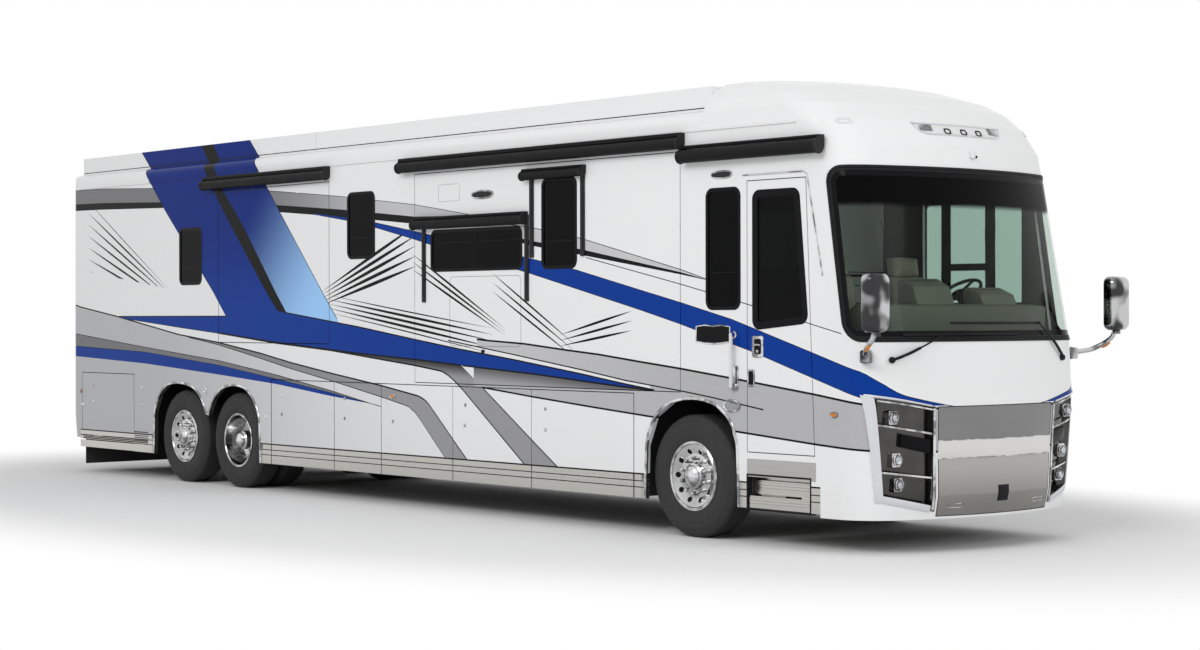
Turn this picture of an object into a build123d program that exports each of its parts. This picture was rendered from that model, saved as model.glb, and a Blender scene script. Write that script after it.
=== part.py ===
from build123d import *
from collections import namedtuple
import math
import os

# A class A diesel motorhome, 13.69 m over its body. Millimetres: +X forward, +Y to the vehicle's left, +Z up,
# with the origin on the ground below the middle of its length. The entry side is the right one, at -Y.

os.makedirs("parts", exist_ok=True)

# ---------------------------------------------------------------- driving dimensions
half_length = 6845
half_width = 1282.5
wall = 45
door_gap = 8
seat_gap = 0.3
skin_land = 20

# heights
rocker_z = 300
trim_top_z = 512
bay_top_z = 1205
floor_top_z = 1237.7
floor_thickness = 47.7
eaves_z = 3460
roof_shoulder_z = 3510
roof_rail_z = 3615
roof_rail_y = 1190
roof_crown_z = 3745
roof_thickness = 50

# stations along the length
front_cap_x = 6048
rear_cap_x = -6578
brow_back_x = 4660
front_axle_x = 4490
drive_axle_x = -2955
tag_axle_x = -4132

# wheels: 22.5 inch rims with wide road tyres
tyre_r = 522
tyre_width = 290
bead_r = 286
tyre_outer_y = 1240
twin_spacing = 343
spindle_r = 50
spindle_end_y = 1160
hub_face_y = 923.5
running_gap = 0.3
kingpin_y = 950
kingpin_r = 25
boss_r = 45
boss_half_height = 52
steer_angle = 40
hand_holes = 10
hand_hole_r = 21
hand_hole_circle_r = 214

# chassis
rail_y = 430
rail_width = 60
rail_top_z = floor_top_z - floor_thickness
rail_height = 270
flap_x = (-6606, -6594)
flap_top_z = 420
receiver_size = 76
receiver_bore = 52
receiver_z = 470
receiver_length = 600
hitch_pin_r = 8
hitch_pin_inset = 70

# slide rooms
room_depth = 680
room_wall = 35
room_travel = 550

# mirrors reach further forward than the nose, and the receiver as far back
mirror_front_x = 6903
mirror_out_y = 1600
mirror_bottom_z = 1752
mirror_top_z = 2212
mirror_depth = 120
mirror_width = 234


# ---------------------------------------------------------------- helpers
def write(part, name):
    """Label a finished piece and write it as one STEP file."""
    part.label = name
    export_step(part, f"parts/{name}.step")


def block(x, y, z, mode=Mode.ADD):
    """Add a box that spans the pairs x, y and z to the open part."""
    with Locations(((x[0] + x[1]) / 2, (y[0] + y[1]) / 2, (z[0] + z[1]) / 2)):
        Box(abs(x[1] - x[0]), abs(y[1] - y[0]), abs(z[1] - z[0]), mode=mode)


def face_y(y, points):
    """A closed outline drawn in x and z, standing at y."""
    with BuildSketch(Plane.XZ.offset(-y)) as outline:
        with BuildLine():
            Polyline(*points, close=True)
        make_face()
    return outline.sketch


def face_x(x, points):
    """A closed outline drawn in y and z, standing at x."""
    with BuildSketch(Plane.YZ.offset(x)) as outline:
        with BuildLine():
            Polyline(*points, close=True)
        make_face()
    return outline.sketch


def face_z(z, points):
    """A closed outline drawn in x and y, lying at z."""
    with BuildSketch(Plane.XY.offset(z)) as outline:
        with BuildLine():
            Polyline(*points, close=True)
        make_face()
    return outline.sketch


def slab_y(points, y, mode=Mode.ADD):
    """Add an outline in x and z, as thick as the pair y, to the open part."""
    extrude(face_y(min(y), points), amount=abs(y[1] - y[0]), dir=(0, 1, 0), mode=mode)


def slab_x(points, x, mode=Mode.ADD):
    """Add an outline in y and z, as thick as the pair x, to the open part."""
    extrude(face_x(min(x), points), amount=abs(x[1] - x[0]), dir=(1, 0, 0), mode=mode)


def slab_z(points, z, mode=Mode.ADD):
    """Add an outline in x and y, as thick as the pair z, to the open part."""
    extrude(face_z(min(z), points), amount=abs(z[1] - z[0]), dir=(0, 0, 1), mode=mode)


def rod(start, end, radius, mode=Mode.ADD):
    """Add a round bar from start to end to the open part."""
    run = Vector(*end) - Vector(*start)
    with Locations(Plane(origin=start, z_dir=run)):
        Cylinder(radius, run.length, align=(Align.CENTER, Align.CENTER, Align.MIN), mode=mode)


def rectangle(x, z):
    """Corner points of an upright rectangle that spans the pairs x and z."""
    return [(x[0], z[0]), (x[1], z[0]), (x[1], z[1]), (x[0], z[1])]


def skin(side, depth=wall):
    """The pair of y values of an outer skin on one side: -1 is the entry side, 1 the driver's."""
    return (side * half_width, side * (half_width - depth))


# ---------------------------------------------------------------- plan sections of the two caps
Section = namedtuple("Section", "z end_x corner_x corner_r half_w back_x")

# the cap's seam is upright beside the door and leans back above it
seam_bend_z = 2988
seam_top_x = 5780


def seam_x(z):
    """The cap seam's station at a height above its bend."""
    return front_cap_x + (seam_top_x - front_cap_x) * (z - seam_bend_z) / (eaves_z - seam_bend_z)


nose_sections = [
    Section(273, 6800, 6215, 400, half_width, front_cap_x),
    Section(460, 6845, 6245, 400, half_width, front_cap_x),
    Section(1160, 6830, 6322, 400, half_width, front_cap_x),
    Section(1270, 6815, 6322, 400, half_width, front_cap_x),
    Section(1660, 6790, 6300, 400, half_width, front_cap_x),
    Section(seam_bend_z, 6558, 6052, 350, half_width, front_cap_x),
    Section(3250, 6500, 5960, 400, half_width, seam_x(3250)),
    Section(eaves_z, 6370, 5800, 400, half_width, seam_top_x),
]
brow_sections = [
    Section(eaves_z, 6370, 5800, 400, half_width, brow_back_x),
    Section(3600, 6200, 5625, 400, 1268, brow_back_x),
    Section(3700, 6010, 5440, 400, 1215, brow_back_x),
    Section(3790, 5740, 5150, 400, 1120, brow_back_x),
    Section(3850, 5400, 4850, 400, 980, brow_back_x),
]
tail_sections = [
    Section(414, 6805, 6632, 160, half_width, -rear_cap_x),
    Section(700, 6845, 6672, 160, half_width, -rear_cap_x),
    Section(1800, 6845, 6672, 160, half_width, -rear_cap_x),
    Section(eaves_z, 6835, 6660, 160, half_width, -rear_cap_x),
    Section(3615, 6815, 6640, 160, half_width, -rear_cap_x),
    Section(3760, 6770, 6595, 160, half_width, -rear_cap_x),
]


def plan(section, inset, sign):
    """A cap's plan at one height: straight sides, round corners and a bowed end that meets them smoothly."""
    radius = section.corner_r - inset
    half_w = section.half_w - inset
    end = section.end_x - inset
    centre_y = half_w - radius
    reach = end - radius
    bow_x = (reach**2 - section.corner_x**2 - centre_y**2) / (2 * (reach - section.corner_x))
    bow_r = end - bow_x
    span = math.hypot(section.corner_x - bow_x, centre_y)
    turn = math.atan2(centre_y, section.corner_x - bow_x) / 2 + math.pi / 4
    back = (sign * (section.back_x - max(inset, 0)), half_w)
    corner = (sign * section.corner_x, half_w)
    middle = (sign * (section.corner_x + radius * math.cos(turn)), centre_y + radius * math.sin(turn))
    join = (sign * (bow_x + bow_r * (section.corner_x - bow_x) / span), bow_r * centre_y / span)
    with BuildSketch(Plane.XY.offset(section.z)) as outline:
        with BuildLine():
            Line(back, corner)
            ThreePointArc(corner, middle, join)
            ThreePointArc(join, (sign * end, 0), (join[0], -join[1]))
            ThreePointArc((join[0], -join[1]), (middle[0], -middle[1]), (corner[0], -corner[1]))
            Line((corner[0], -corner[1]), (back[0], -back[1]))
            Line((back[0], -back[1]), back)
        make_face()
    return outline.sketch


def cap_solid(sections, inset=0.0, sign=1, low=None, high=None):
    """The solid of a cap, inset all round, with its first and last sections moved to the heights low and high."""
    rows = list(sections)
    if low is not None:
        rows[0] = rows[0]._replace(z=low)
    if high is not None:
        rows[-1] = rows[-1]._replace(z=high)
    with BuildPart() as solid:
        loft([plan(row, inset, sign) for row in rows], ruled=True)
    return solid.part


nose_solid = cap_solid(nose_sections)


def nose_shell(outer_inset, inner_inset):
    """The nose between two insets of its outer skin, open at the back and below."""
    return cap_solid(nose_sections, outer_inset) - cap_solid(nose_sections, inner_inset, low=200, high=3500)


def bow_x(section, y):
    """The station of the cap's skin at one section and distance y from the centre plane."""
    centre_y = section.half_w - section.corner_r
    reach = section.end_x - section.corner_r
    bow_centre = (reach**2 - section.corner_x**2 - centre_y**2) / (2 * (reach - section.corner_x))
    radius = section.end_x - bow_centre
    join_y = radius * centre_y / math.hypot(section.corner_x - bow_centre, centre_y)
    if abs(y) <= join_y:
        return bow_centre + math.sqrt(radius**2 - y**2)
    return section.corner_x + math.sqrt(section.corner_r**2 - (abs(y) - centre_y) ** 2)


def nose_x_at(y, z):
    """The station of the nose's skin at a point of the front."""
    for low, high in zip(nose_sections, nose_sections[1:]):
        if z <= high.z:
            share = (z - low.z) / (high.z - low.z)
            return bow_x(low, y) * (1 - share) + bow_x(high, y) * share
    return bow_x(nose_sections[-1], y)


# ---------------------------------------------------------------- openings in the side walls
Window = namedtuple("Window", "x0 x1 z0 z1")

right_windows = [
    Window(-4139, -3656, 2254, 2881),
    Window(-696, -214, 2479, 3138),
    Window(4720, 5121, 1942, 2940),
]
left_windows = [
    Window(-5600, -4300, 2254, 2881),
    Window(4872, 6010, 1985, 2884),
]
room_windows = {
    "slide_room_right_front": [Window(765, 2195, 2325, 2710), Window(2502, 2992, 2323, 3131)],
    "slide_room_right_rear": [],
    "slide_room_left": [
        Window(-2600, -1700, 2323, 3000),
        Window(300, 1700, 2325, 2900),
        Window(2600, 3700, 2325, 2900),
    ],
}

Room = namedtuple("Room", "name side x0 x1 z0 z1")
rooms = [
    Room("slide_room_right_front", -1, 490, 4384, 1238, 3275),
    Room("slide_room_right_rear", -1, -3278, -1049, 1603, 3275),
    Room("slide_room_left", 1, -3278, 4384, 1238, 3275),
]

# baggage doors, from rear to front
right_bay_edges = [-2178, -955, -100, 1113, 2337, 3777]
left_bay_edges = [-2178, -300, 1650, 3777]

rear_door_x = (-6530, -5231)
rear_door_z = (487, bay_top_z)
front_arch = [
    (3931, 250),
    (3948, 760),
    (4060, 1010),
    (4290, 1150),
    (4537, 1184),
    (4790, 1150),
    (5000, 1010),
    (5090, 760),
    (5106, 250),
]
rear_arch = [
    (-4748, 250),
    (-4735, 760),
    (-4610, 990),
    (-4410, 1110),
    (-4150, 1130),
    (-3900, 1100),
    (-3680, 980),
    (-3560, 785),
    (-3500, 785),
    (-3380, 980),
    (-3180, 1100),
    (-2955, 1130),
    (-2720, 1100),
    (-2530, 960),
    (-2425, 760),
    (-2406, 250),
]

# the entry door's front edge leans back with the windshield
door_rear_x = 5214
door_z = (765, 2988)
door_front_x = (5982, 5886)
step_x = (5221, 5927)
step_z = (304, 555)
step_depth = 420
sill_z = (step_z[1] + 5, door_z[0] - door_gap)


def door_outline(margin):
    """The entry door's outline, grown by a margin on every side."""
    return [
        (door_rear_x - margin, door_z[0] - margin),
        (door_front_x[0] + margin, door_z[0] - margin),
        (door_front_x[1] + margin, door_z[1] + margin),
        (door_rear_x - margin, door_z[1] + margin),
    ]


def side_wall(side, windows, edges):
    """One side wall, with its wheel panels and every opening cut through it."""
    own_rooms = [room for room in rooms if room.side == side]
    with BuildPart() as panel:
        outline = [
            (rear_cap_x, rocker_z),
            (front_cap_x, rocker_z),
            (front_cap_x, seam_bend_z),
            (seam_top_x, eaves_z),
            (rear_cap_x, eaves_z),
        ]
        slab_y(outline, skin(side))
        bay_x = (edges[0] - door_gap, edges[-1] + door_gap)
        slab_y(rectangle(bay_x, (rocker_z - 1, bay_top_z + door_gap)), skin(side), Mode.SUBTRACT)
        opening_x = (rear_door_x[0] - door_gap, rear_door_x[1] + door_gap)
        slab_y(rectangle(opening_x, (rocker_z - 1, bay_top_z + door_gap)), skin(side), Mode.SUBTRACT)
        slab_y(rectangle((rear_cap_x - 1, opening_x[0]), (rocker_z - 1, rear_door_z[0])), skin(side), Mode.SUBTRACT)
        slab_y(front_arch, skin(side), Mode.SUBTRACT)
        slab_y(rear_arch, skin(side), Mode.SUBTRACT)
        for room in own_rooms:
            opening = rectangle(
                (room.x0 - door_gap, room.x1 + door_gap),
                (room.z0 - door_gap, room.z1 + door_gap),
            )
            slab_y(opening, skin(side), Mode.SUBTRACT)
        for window in windows:
            slab_y(rectangle((window.x0, window.x1), (window.z0, window.z1)), skin(side), Mode.SUBTRACT)
        if side < 0:
            slab_y(door_outline(door_gap), skin(side), Mode.SUBTRACT)
            step_opening = (step_x[0] - door_gap, step_x[1] + door_gap)
            slab_y(rectangle(step_opening, (rocker_z - 1, sill_z[0])), skin(side), Mode.SUBTRACT)
            # the land that the entry door closes on
            land = (-(half_width - wall), -(half_width - wall - skin_land))
            slab_y(door_outline(door_gap + skin_land), land)
            slab_y(door_outline(door_gap), (land[0], land[0] + seat_gap), Mode.SUBTRACT)
            slab_y(door_outline(-skin_land), land, Mode.SUBTRACT)
    return panel.part


write(side_wall(-1, right_windows, right_bay_edges), "side_wall_right")
write(side_wall(1, left_windows, left_bay_edges), "side_wall_left")

# ---------------------------------------------------------------- roof
def roof_outline(x, inset, low_z):
    """The body's cross-section at x, from low_z up over the rails and the crown."""
    shoulder = (half_width - inset, roof_shoulder_z - inset / 2)
    bulge = (shoulder[0] - 22, shoulder[1] + 65)
    rail = (roof_rail_y - inset / 2, roof_rail_z - inset)
    with BuildSketch(Plane.YZ.offset(x)) as outline:
        with BuildLine():
            Line((-shoulder[0], low_z), (-shoulder[0], shoulder[1]))
            ThreePointArc((-shoulder[0], shoulder[1]), (-bulge[0], bulge[1]), (-rail[0], rail[1]))
            ThreePointArc((-rail[0], rail[1]), (0, roof_crown_z - inset), rail)
            ThreePointArc(rail, bulge, shoulder)
            Line(shoulder, (shoulder[0], low_z))
            Line((shoulder[0], low_z), (-shoulder[0], low_z))
        make_face()
    return outline.sketch


def roof_solid(x, inset, low_z):
    """The body's cross-section run between the pair x."""
    return extrude(roof_outline(min(x), inset, low_z), amount=abs(x[1] - x[0]), dir=(1, 0, 0))


roof_x = (rear_cap_x, brow_back_x)
with BuildPart() as roof_panel:
    add(roof_solid(roof_x, 0, eaves_z))
    add(roof_solid(roof_x, roof_thickness, eaves_z), mode=Mode.SUBTRACT)
write(roof_panel.part, "roof_panel")

# ---------------------------------------------------------------- front cap
windshield_z = (1690, 3060)
windshield_edge_x = (6322, 6108)
hood_z = (300, 1158)
hood_half_y = 690
lamp_outline = [(720, 1165), (690, 330), (1135, 430), (1232, 1245)]
lamp_frame = 45
lamp_length = 70
lamp_y = 1030
lamp_z = (1080, 745, 545)
lamp_r = 75

windshield_cut = [
    (windshield_edge_x[0], windshield_z[0]),
    (7000, windshield_z[0]),
    (7000, windshield_z[1]),
    (windshield_edge_x[1], windshield_z[1]),
]


def hood_outline(margin):
    """The front hood's outline in y and z."""
    low = (hood_half_y - 25 + margin, hood_z[0] - margin)
    high = (hood_half_y + margin, hood_z[1] + margin)
    return [(-low[0], low[1]), low, high, (-high[0], high[1])]


def mirrored(points):
    """The same outline on the other side of the centre plane."""
    return [(-y, z) for y, z in points]


nose_x = (6300, 7000)
brow_inner = cap_solid([row._replace(back_x=row.back_x + 2 * wall) for row in brow_sections], wall, low=3415, high=3805)
door_depth = wall - 5


def nose_ring(outer, inner, depth):
    """A land inside the nose between two outlines in y and z, its face at a depth below the skin."""
    shell = nose_shell(depth, depth + skin_land)
    span = nose_x[1] - nose_x[0]
    ring = extrude(face_x(nose_x[0], outer), amount=span, dir=(1, 0, 0)) - extrude(
        face_x(nose_x[0], inner), amount=span, dir=(1, 0, 0)
    )
    return shell & ring


hood_land = nose_ring(hood_outline(skin_land), hood_outline(-skin_land), door_depth + seat_gap)
with BuildPart() as front_cap:
    add(nose_shell(0, wall))
    slab_y(windshield_cut, (-half_width - 1, half_width + 1), Mode.SUBTRACT)
    slab_x(hood_outline(door_gap), nose_x, Mode.SUBTRACT)
    slab_x(lamp_outline, nose_x, Mode.SUBTRACT)
    slab_x(mirrored(lamp_outline), nose_x, Mode.SUBTRACT)
    add(hood_land)
    add(cap_solid(brow_sections))
    add(brow_inner, mode=Mode.SUBTRACT)
    passage = (brow_back_x - 1, brow_back_x + 2 * wall)
    add(roof_solid(passage, roof_thickness, eaves_z), mode=Mode.SUBTRACT)
write(front_cap.part, "front_cap")

glass_inset = 0
with BuildPart() as windshield:
    add(nose_shell(glass_inset, glass_inset + 12))
    reach = (-half_width - 1, half_width + 1)
    keep = face_y(reach[0], windshield_cut)
    extrude(keep, amount=reach[1] - reach[0], dir=(0, 1, 0), mode=Mode.INTERSECT)
write(windshield.part, "windshield")

with BuildPart() as front_hood:
    add(nose_shell(0, door_depth))
    extrude(face_x(nose_x[0], hood_outline(0)), amount=nose_x[1] - nose_x[0], dir=(1, 0, 0), mode=Mode.INTERSECT)
write(front_hood.part, "front_hood")


# ---------------------------------------------------------------- rear cap with the engine door
engine_door_z = (760, 1780)
engine_door_half_y = 900
tail_x = (-7000, -6600)


def engine_outline(margin):
    """The engine door's outline in y and z, grown by a margin on every side."""
    half_y = engine_door_half_y + margin
    low, high = engine_door_z[0] - margin, engine_door_z[1] + margin
    return [(-half_y, low), (half_y, low), (half_y, high), (-half_y, high)]


tail_span = (-7000, rear_cap_x + 2 * wall)
tail_solid = cap_solid(tail_sections, sign=-1) & roof_solid(tail_span, 0, rocker_z)
tail_inner = cap_solid(tail_sections, wall, sign=-1, low=300) & roof_solid(tail_span, roof_thickness, 200)
land_depth = door_depth + seat_gap
tail_length = tail_x[1] - tail_x[0]
engine_land = cap_solid(tail_sections, land_depth, sign=-1) - cap_solid(tail_sections, land_depth + skin_land, sign=-1)
engine_land &= extrude(face_x(tail_x[0], engine_outline(door_gap + skin_land)), amount=tail_length, dir=(1, 0, 0))
engine_land -= extrude(face_x(tail_x[0], engine_outline(-skin_land)), amount=tail_length, dir=(1, 0, 0))
with BuildPart() as rear_cap:
    add(tail_solid)
    add(tail_inner, mode=Mode.SUBTRACT)
    slab_x(engine_outline(door_gap), tail_x, Mode.SUBTRACT)
    add(engine_land)
    notch = receiver_size / 2 + door_gap
    block(tail_x, (-notch, notch), (rocker_z, receiver_z + notch), Mode.SUBTRACT)
write(rear_cap.part, "rear_cap")

with BuildPart() as engine_door:
    add(tail_solid)
    add(cap_solid(tail_sections, door_depth, sign=-1, low=300), mode=Mode.SUBTRACT)
    extrude(face_x(tail_x[0], engine_outline(0)), amount=tail_length, dir=(1, 0, 0), mode=Mode.INTERSECT)
write(engine_door.part, "engine_door")

# ---------------------------------------------------------------- slide-out rooms
for room in rooms:
    with BuildPart() as slide_room:
        outer = room.side * half_width
        inner = room.side * (half_width - room_depth)
        block((room.x0, room.x1), (outer, inner), (room.z0, room.z1))
        hollow_x = (room.x0 + room_wall, room.x1 - room_wall)
        hollow_y = (room.side * (half_width - wall), inner - room.side)
        block(hollow_x, hollow_y, (room.z0 + room_wall, room.z1 - room_wall), Mode.SUBTRACT)
        for window in room_windows[room.name]:
            block((window.x0, window.x1), skin(room.side, wall + 1), (window.z0, window.z1), Mode.SUBTRACT)
    write(slide_room.part, room.name)


# ---------------------------------------------------------------- fixed glass
def panes(side, windows):
    """Flush panes that fill the given windows."""
    with BuildPart() as glass:
        for window in windows:
            glass_y = (side * (half_width - 5), side * (half_width - 15))
            block((window.x0, window.x1), glass_y, (window.z0, window.z1))
    return glass.part


write(panes(-1, right_windows) + panes(1, left_windows), "side_glass")
write(panes(-1, room_windows["slide_room_right_front"]), "slide_glass_right")
write(panes(1, room_windows["slide_room_left"]), "slide_glass_left")

# ---------------------------------------------------------------- floor, basement and wheel wells
bulkhead = 30
bay_floor_z = (rocker_z + 5, rocker_z + 35)
bay_inner_y = rail_y + rail_width + 20
land_y = half_width - wall - seat_gap
well_x = (3800, 5150)
stair_x = (door_rear_x + 10, 5960)
stair_y = (-land_y - 1, -680)

sill_y = -(half_width - wall - skin_land)
with BuildPart() as cabin_floor:
    floor_z = (rail_top_z, floor_top_z)
    block((rear_cap_x, front_cap_x), (-land_y, land_y), floor_z)
    block(stair_x, stair_y, floor_z, Mode.SUBTRACT)
    block((door_rear_x - 60, front_cap_x), (-land_y, sill_y), floor_z, Mode.SUBTRACT)
write(cabin_floor.part, "cabin_floor")

with BuildPart() as basement:
    block((right_bay_edges[0], right_bay_edges[-1]), (-land_y, land_y), bay_floor_z)
    for side, edges in ((-1, right_bay_edges), (1, left_bay_edges)):
        for x in edges:
            block((x - bulkhead, x + bulkhead), (side * bay_inner_y, side * land_y), (bay_floor_z[0], rail_top_z))
        for x in ((rear_cap_x, rear_door_x[0] + skin_land), (rear_door_x[1] - skin_land, rear_door_x[1] + bulkhead)):
            block(x, (side * 800, side * land_y), (rear_door_z[0], rail_top_z))
        block((well_x[1], well_x[1] + bulkhead), (side * 620, side * land_y), (rocker_z + 20, rail_top_z))
    # the stairwell inside the entry door
    block((stair_x[0] - bulkhead, stair_x[1] + bulkhead), (sill_y, stair_y[1]), sill_z)
    # the guides that the steps slide in
    guide_y = (-land_y, -half_width + step_depth)
    guide_z = (step_z[0] + 20, sill_z[0])
    block((well_x[1] + bulkhead, step_x[0] - seat_gap), guide_y, guide_z)
    block((step_x[1] + seat_gap, stair_x[1] + bulkhead), guide_y, guide_z)
write(basement.part, "basement")

# the platform that carries the raised rear room
rear_room = rooms[1]
with BuildPart() as rear_room_base:
    shelf_top = rear_room.z0 - seat_gap
    base_y = (-land_y, -land_y + room_depth)
    block((rear_room.x0, rear_room.x1), base_y, (floor_top_z, shelf_top))
    block(
        (rear_room.x0 + bulkhead, rear_room.x1 - bulkhead),
        (base_y[0] + bulkhead, base_y[1] - bulkhead),
        (floor_top_z, shelf_top - bulkhead),
        Mode.SUBTRACT,
    )
write(rear_room_base.part, "rear_room_base")

# ---------------------------------------------------------------- chassis
rail_z = (rail_top_z - rail_height, rail_top_z)
member_z = (rail_z[0] + 40, rail_z[1] - 60)
rear_member_x = (-6490, -6410)
with BuildPart() as frame_rails:
    for side in (-1, 1):
        rail = (side * rail_y, side * (rail_y + rail_width))
        block((-6500, 6300), rail, rail_z)
        block((flap_x[1], -6500), rail, (flap_top_z - 60, rail_z[0] + 60))
write(frame_rails.part, "frame_rails")

with BuildPart() as cross_members:
    for x in (-5000, -3540, -2300, 0, 2300, 3700, 5300, 6200):
        block((x - 40, x + 40), (-rail_y, rail_y), member_z)
    # the trailer receiver below the rear bumper, hung from the rear cross member
    block(rear_member_x, (-rail_y, rail_y), member_z)
    tube_x = (-mirror_front_x, -mirror_front_x + receiver_length)
    tube_z = (receiver_z - receiver_size / 2, receiver_z + receiver_size / 2)
    bore_z = (receiver_z - receiver_bore / 2, receiver_z + receiver_bore / 2)
    block(tube_x, (-receiver_size / 2, receiver_size / 2), tube_z)
    for y in (-receiver_size, receiver_size):
        block(rear_member_x, (y - 12, y + 12), (tube_z[0], member_z[0]))
    block(rear_member_x, (-receiver_size, receiver_size), tube_z)
    block(tube_x, (-receiver_bore / 2, receiver_bore / 2), bore_z, Mode.SUBTRACT)
    pin_x = tube_x[0] + hitch_pin_inset
    rod((pin_x, -receiver_size, receiver_z), (pin_x, receiver_size, receiver_z), hitch_pin_r, Mode.SUBTRACT)
write(cross_members.part, "cross_members")

with BuildPart() as engine_block:
    block((-6300, -5100), (-rail_y + 20, rail_y - 20), (620, 1110))
    for x in (-6150, -5250):
        block((x - 50, x + 50), (-rail_y, rail_y), (960, 1040))
write(engine_block.part, "engine_block")

# ---------------------------------------------------------------- axles
tyre_inner_y = tyre_outer_y - tyre_width
beam_z = (tyre_r - boss_half_height, tyre_r + boss_half_height)
with BuildPart() as axles:
    block((front_axle_x - 40, front_axle_x + 40), (-kingpin_y, kingpin_y), beam_z)
    for side in (-1, 1):
        with Locations((front_axle_x, side * kingpin_y, tyre_r)):
            Cylinder(boss_r, 2 * boss_half_height)
            Cylinder(kingpin_r + running_gap, 2 * boss_half_height, mode=Mode.SUBTRACT)
        # air springs between the axles and the rails
        for x in (front_axle_x, drive_axle_x, tag_axle_x):
            spring_y = side * (rail_y + rail_width / 2)
            rod((x, spring_y, tyre_r), (x, spring_y, rail_top_z - rail_height), 80)
    for x in (drive_axle_x, tag_axle_x):
        rod((x, -tyre_inner_y + 380, tyre_r), (x, tyre_inner_y - 380, tyre_r), 75)
        for side in (-1, 1):
            rod((x, side * (tyre_inner_y - 380), tyre_r), (x, side * spindle_end_y, tyre_r), spindle_r)
    with Locations((drive_axle_x, 0, tyre_r)):
        Sphere(190)
write(axles.part, "axles")

for side, name in ((1, "left"), (-1, "right")):
    with BuildPart() as knuckle:
        ear = 40
        for direction in (-1, 1):
            low = tyre_r + direction * (boss_half_height + running_gap)
            high = low + direction * ear
            block(
                (front_axle_x - boss_r, front_axle_x + boss_r),
                (side * (kingpin_y - boss_r), side * (kingpin_y + boss_r + 35)),
                (low, high),
            )
        pin_half = boss_half_height + running_gap + ear
        with Locations((front_axle_x, side * kingpin_y, tyre_r)):
            Cylinder(kingpin_r, 2 * pin_half)
        plate_y = (side * (kingpin_y + boss_r + 10), side * (kingpin_y + boss_r + 35))
        block((front_axle_x - boss_r, front_axle_x + boss_r), plate_y, (tyre_r - pin_half, tyre_r + pin_half))
        rod((front_axle_x, plate_y[0], tyre_r), (front_axle_x, side * spindle_end_y, tyre_r), spindle_r)
    write(knuckle.part, f"knuckle_{name}")


# ---------------------------------------------------------------- wheels
def tyre_ring(x, y_in, y_out):
    """One tyre between two planes: bead, round side wall, shoulder and tread."""
    with BuildPart() as ring:
        with BuildSketch(Plane((x, 0, tyre_r), x_dir=(0, 1, 0), z_dir=(1, 0, 0))):
            with BuildLine():
                out = 1 if y_out > y_in else -1
                Line((y_in + 24 * out, bead_r), (y_out - 24 * out, bead_r))
                ThreePointArc((y_out - 24 * out, bead_r), (y_out, bead_r + 115), (y_out - 26 * out, tyre_r - 14))
                Line((y_out - 26 * out, tyre_r - 14), (y_out - 44 * out, tyre_r))
                Line((y_out - 44 * out, tyre_r), (y_in + 44 * out, tyre_r))
                Line((y_in + 44 * out, tyre_r), (y_in + 26 * out, tyre_r - 14))
                ThreePointArc((y_in + 26 * out, tyre_r - 14), (y_in, bead_r + 115), (y_in + 24 * out, bead_r))
            make_face()
        revolve(axis=Axis((x, 0, tyre_r), (0, 1, 0)))
    return ring.part


def rim_ring(x, side, disc_y, hub_y):
    """One disc wheel: a barrel under the tyre, a pierced disc at disc_y and a hub out to hub_y."""
    with BuildPart() as rim:
        with BuildSketch(Plane((x, 0, tyre_r), x_dir=(0, side, 0), z_dir=(side, 0, 0))):
            with BuildLine():
                Polyline(
                    (tyre_inner_y + 23, bead_r),
                    (tyre_outer_y - 23, bead_r),
                    (tyre_outer_y - 18, bead_r + 10),
                    (tyre_outer_y - 10, bead_r + 10),
                    (tyre_outer_y - 16, bead_r - 14),
                    (disc_y + 40, bead_r - 22),
                    (disc_y + 8, 190),
                    (disc_y + 12, 120),
                    (hub_y - 12, 108),
                    (hub_y, 90),
                    (hub_y, 0),
                    (spindle_end_y + 10, 0),
                    (spindle_end_y + 10, spindle_r + running_gap),
                    (disc_y - 40, spindle_r + running_gap),
                    (disc_y - 40, 130),
                    (disc_y - 14, 190),
                    (disc_y + 14, bead_r - 26),
                    (tyre_inner_y + 20, bead_r - 14),
                    (tyre_inner_y + 10, bead_r + 10),
                    (tyre_inner_y + 18, bead_r + 10),
                    close=True,
                )
            make_face()
        revolve(axis=Axis((x, 0, tyre_r), (0, 1, 0)))
        with Locations(Plane((x, side * disc_y, tyre_r), x_dir=(1, 0, 0), z_dir=(0, side, 0))):
            with PolarLocations(hand_hole_circle_r, hand_holes):
                Cylinder(hand_hole_r, 150, mode=Mode.SUBTRACT)
    return rim.part


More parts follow.
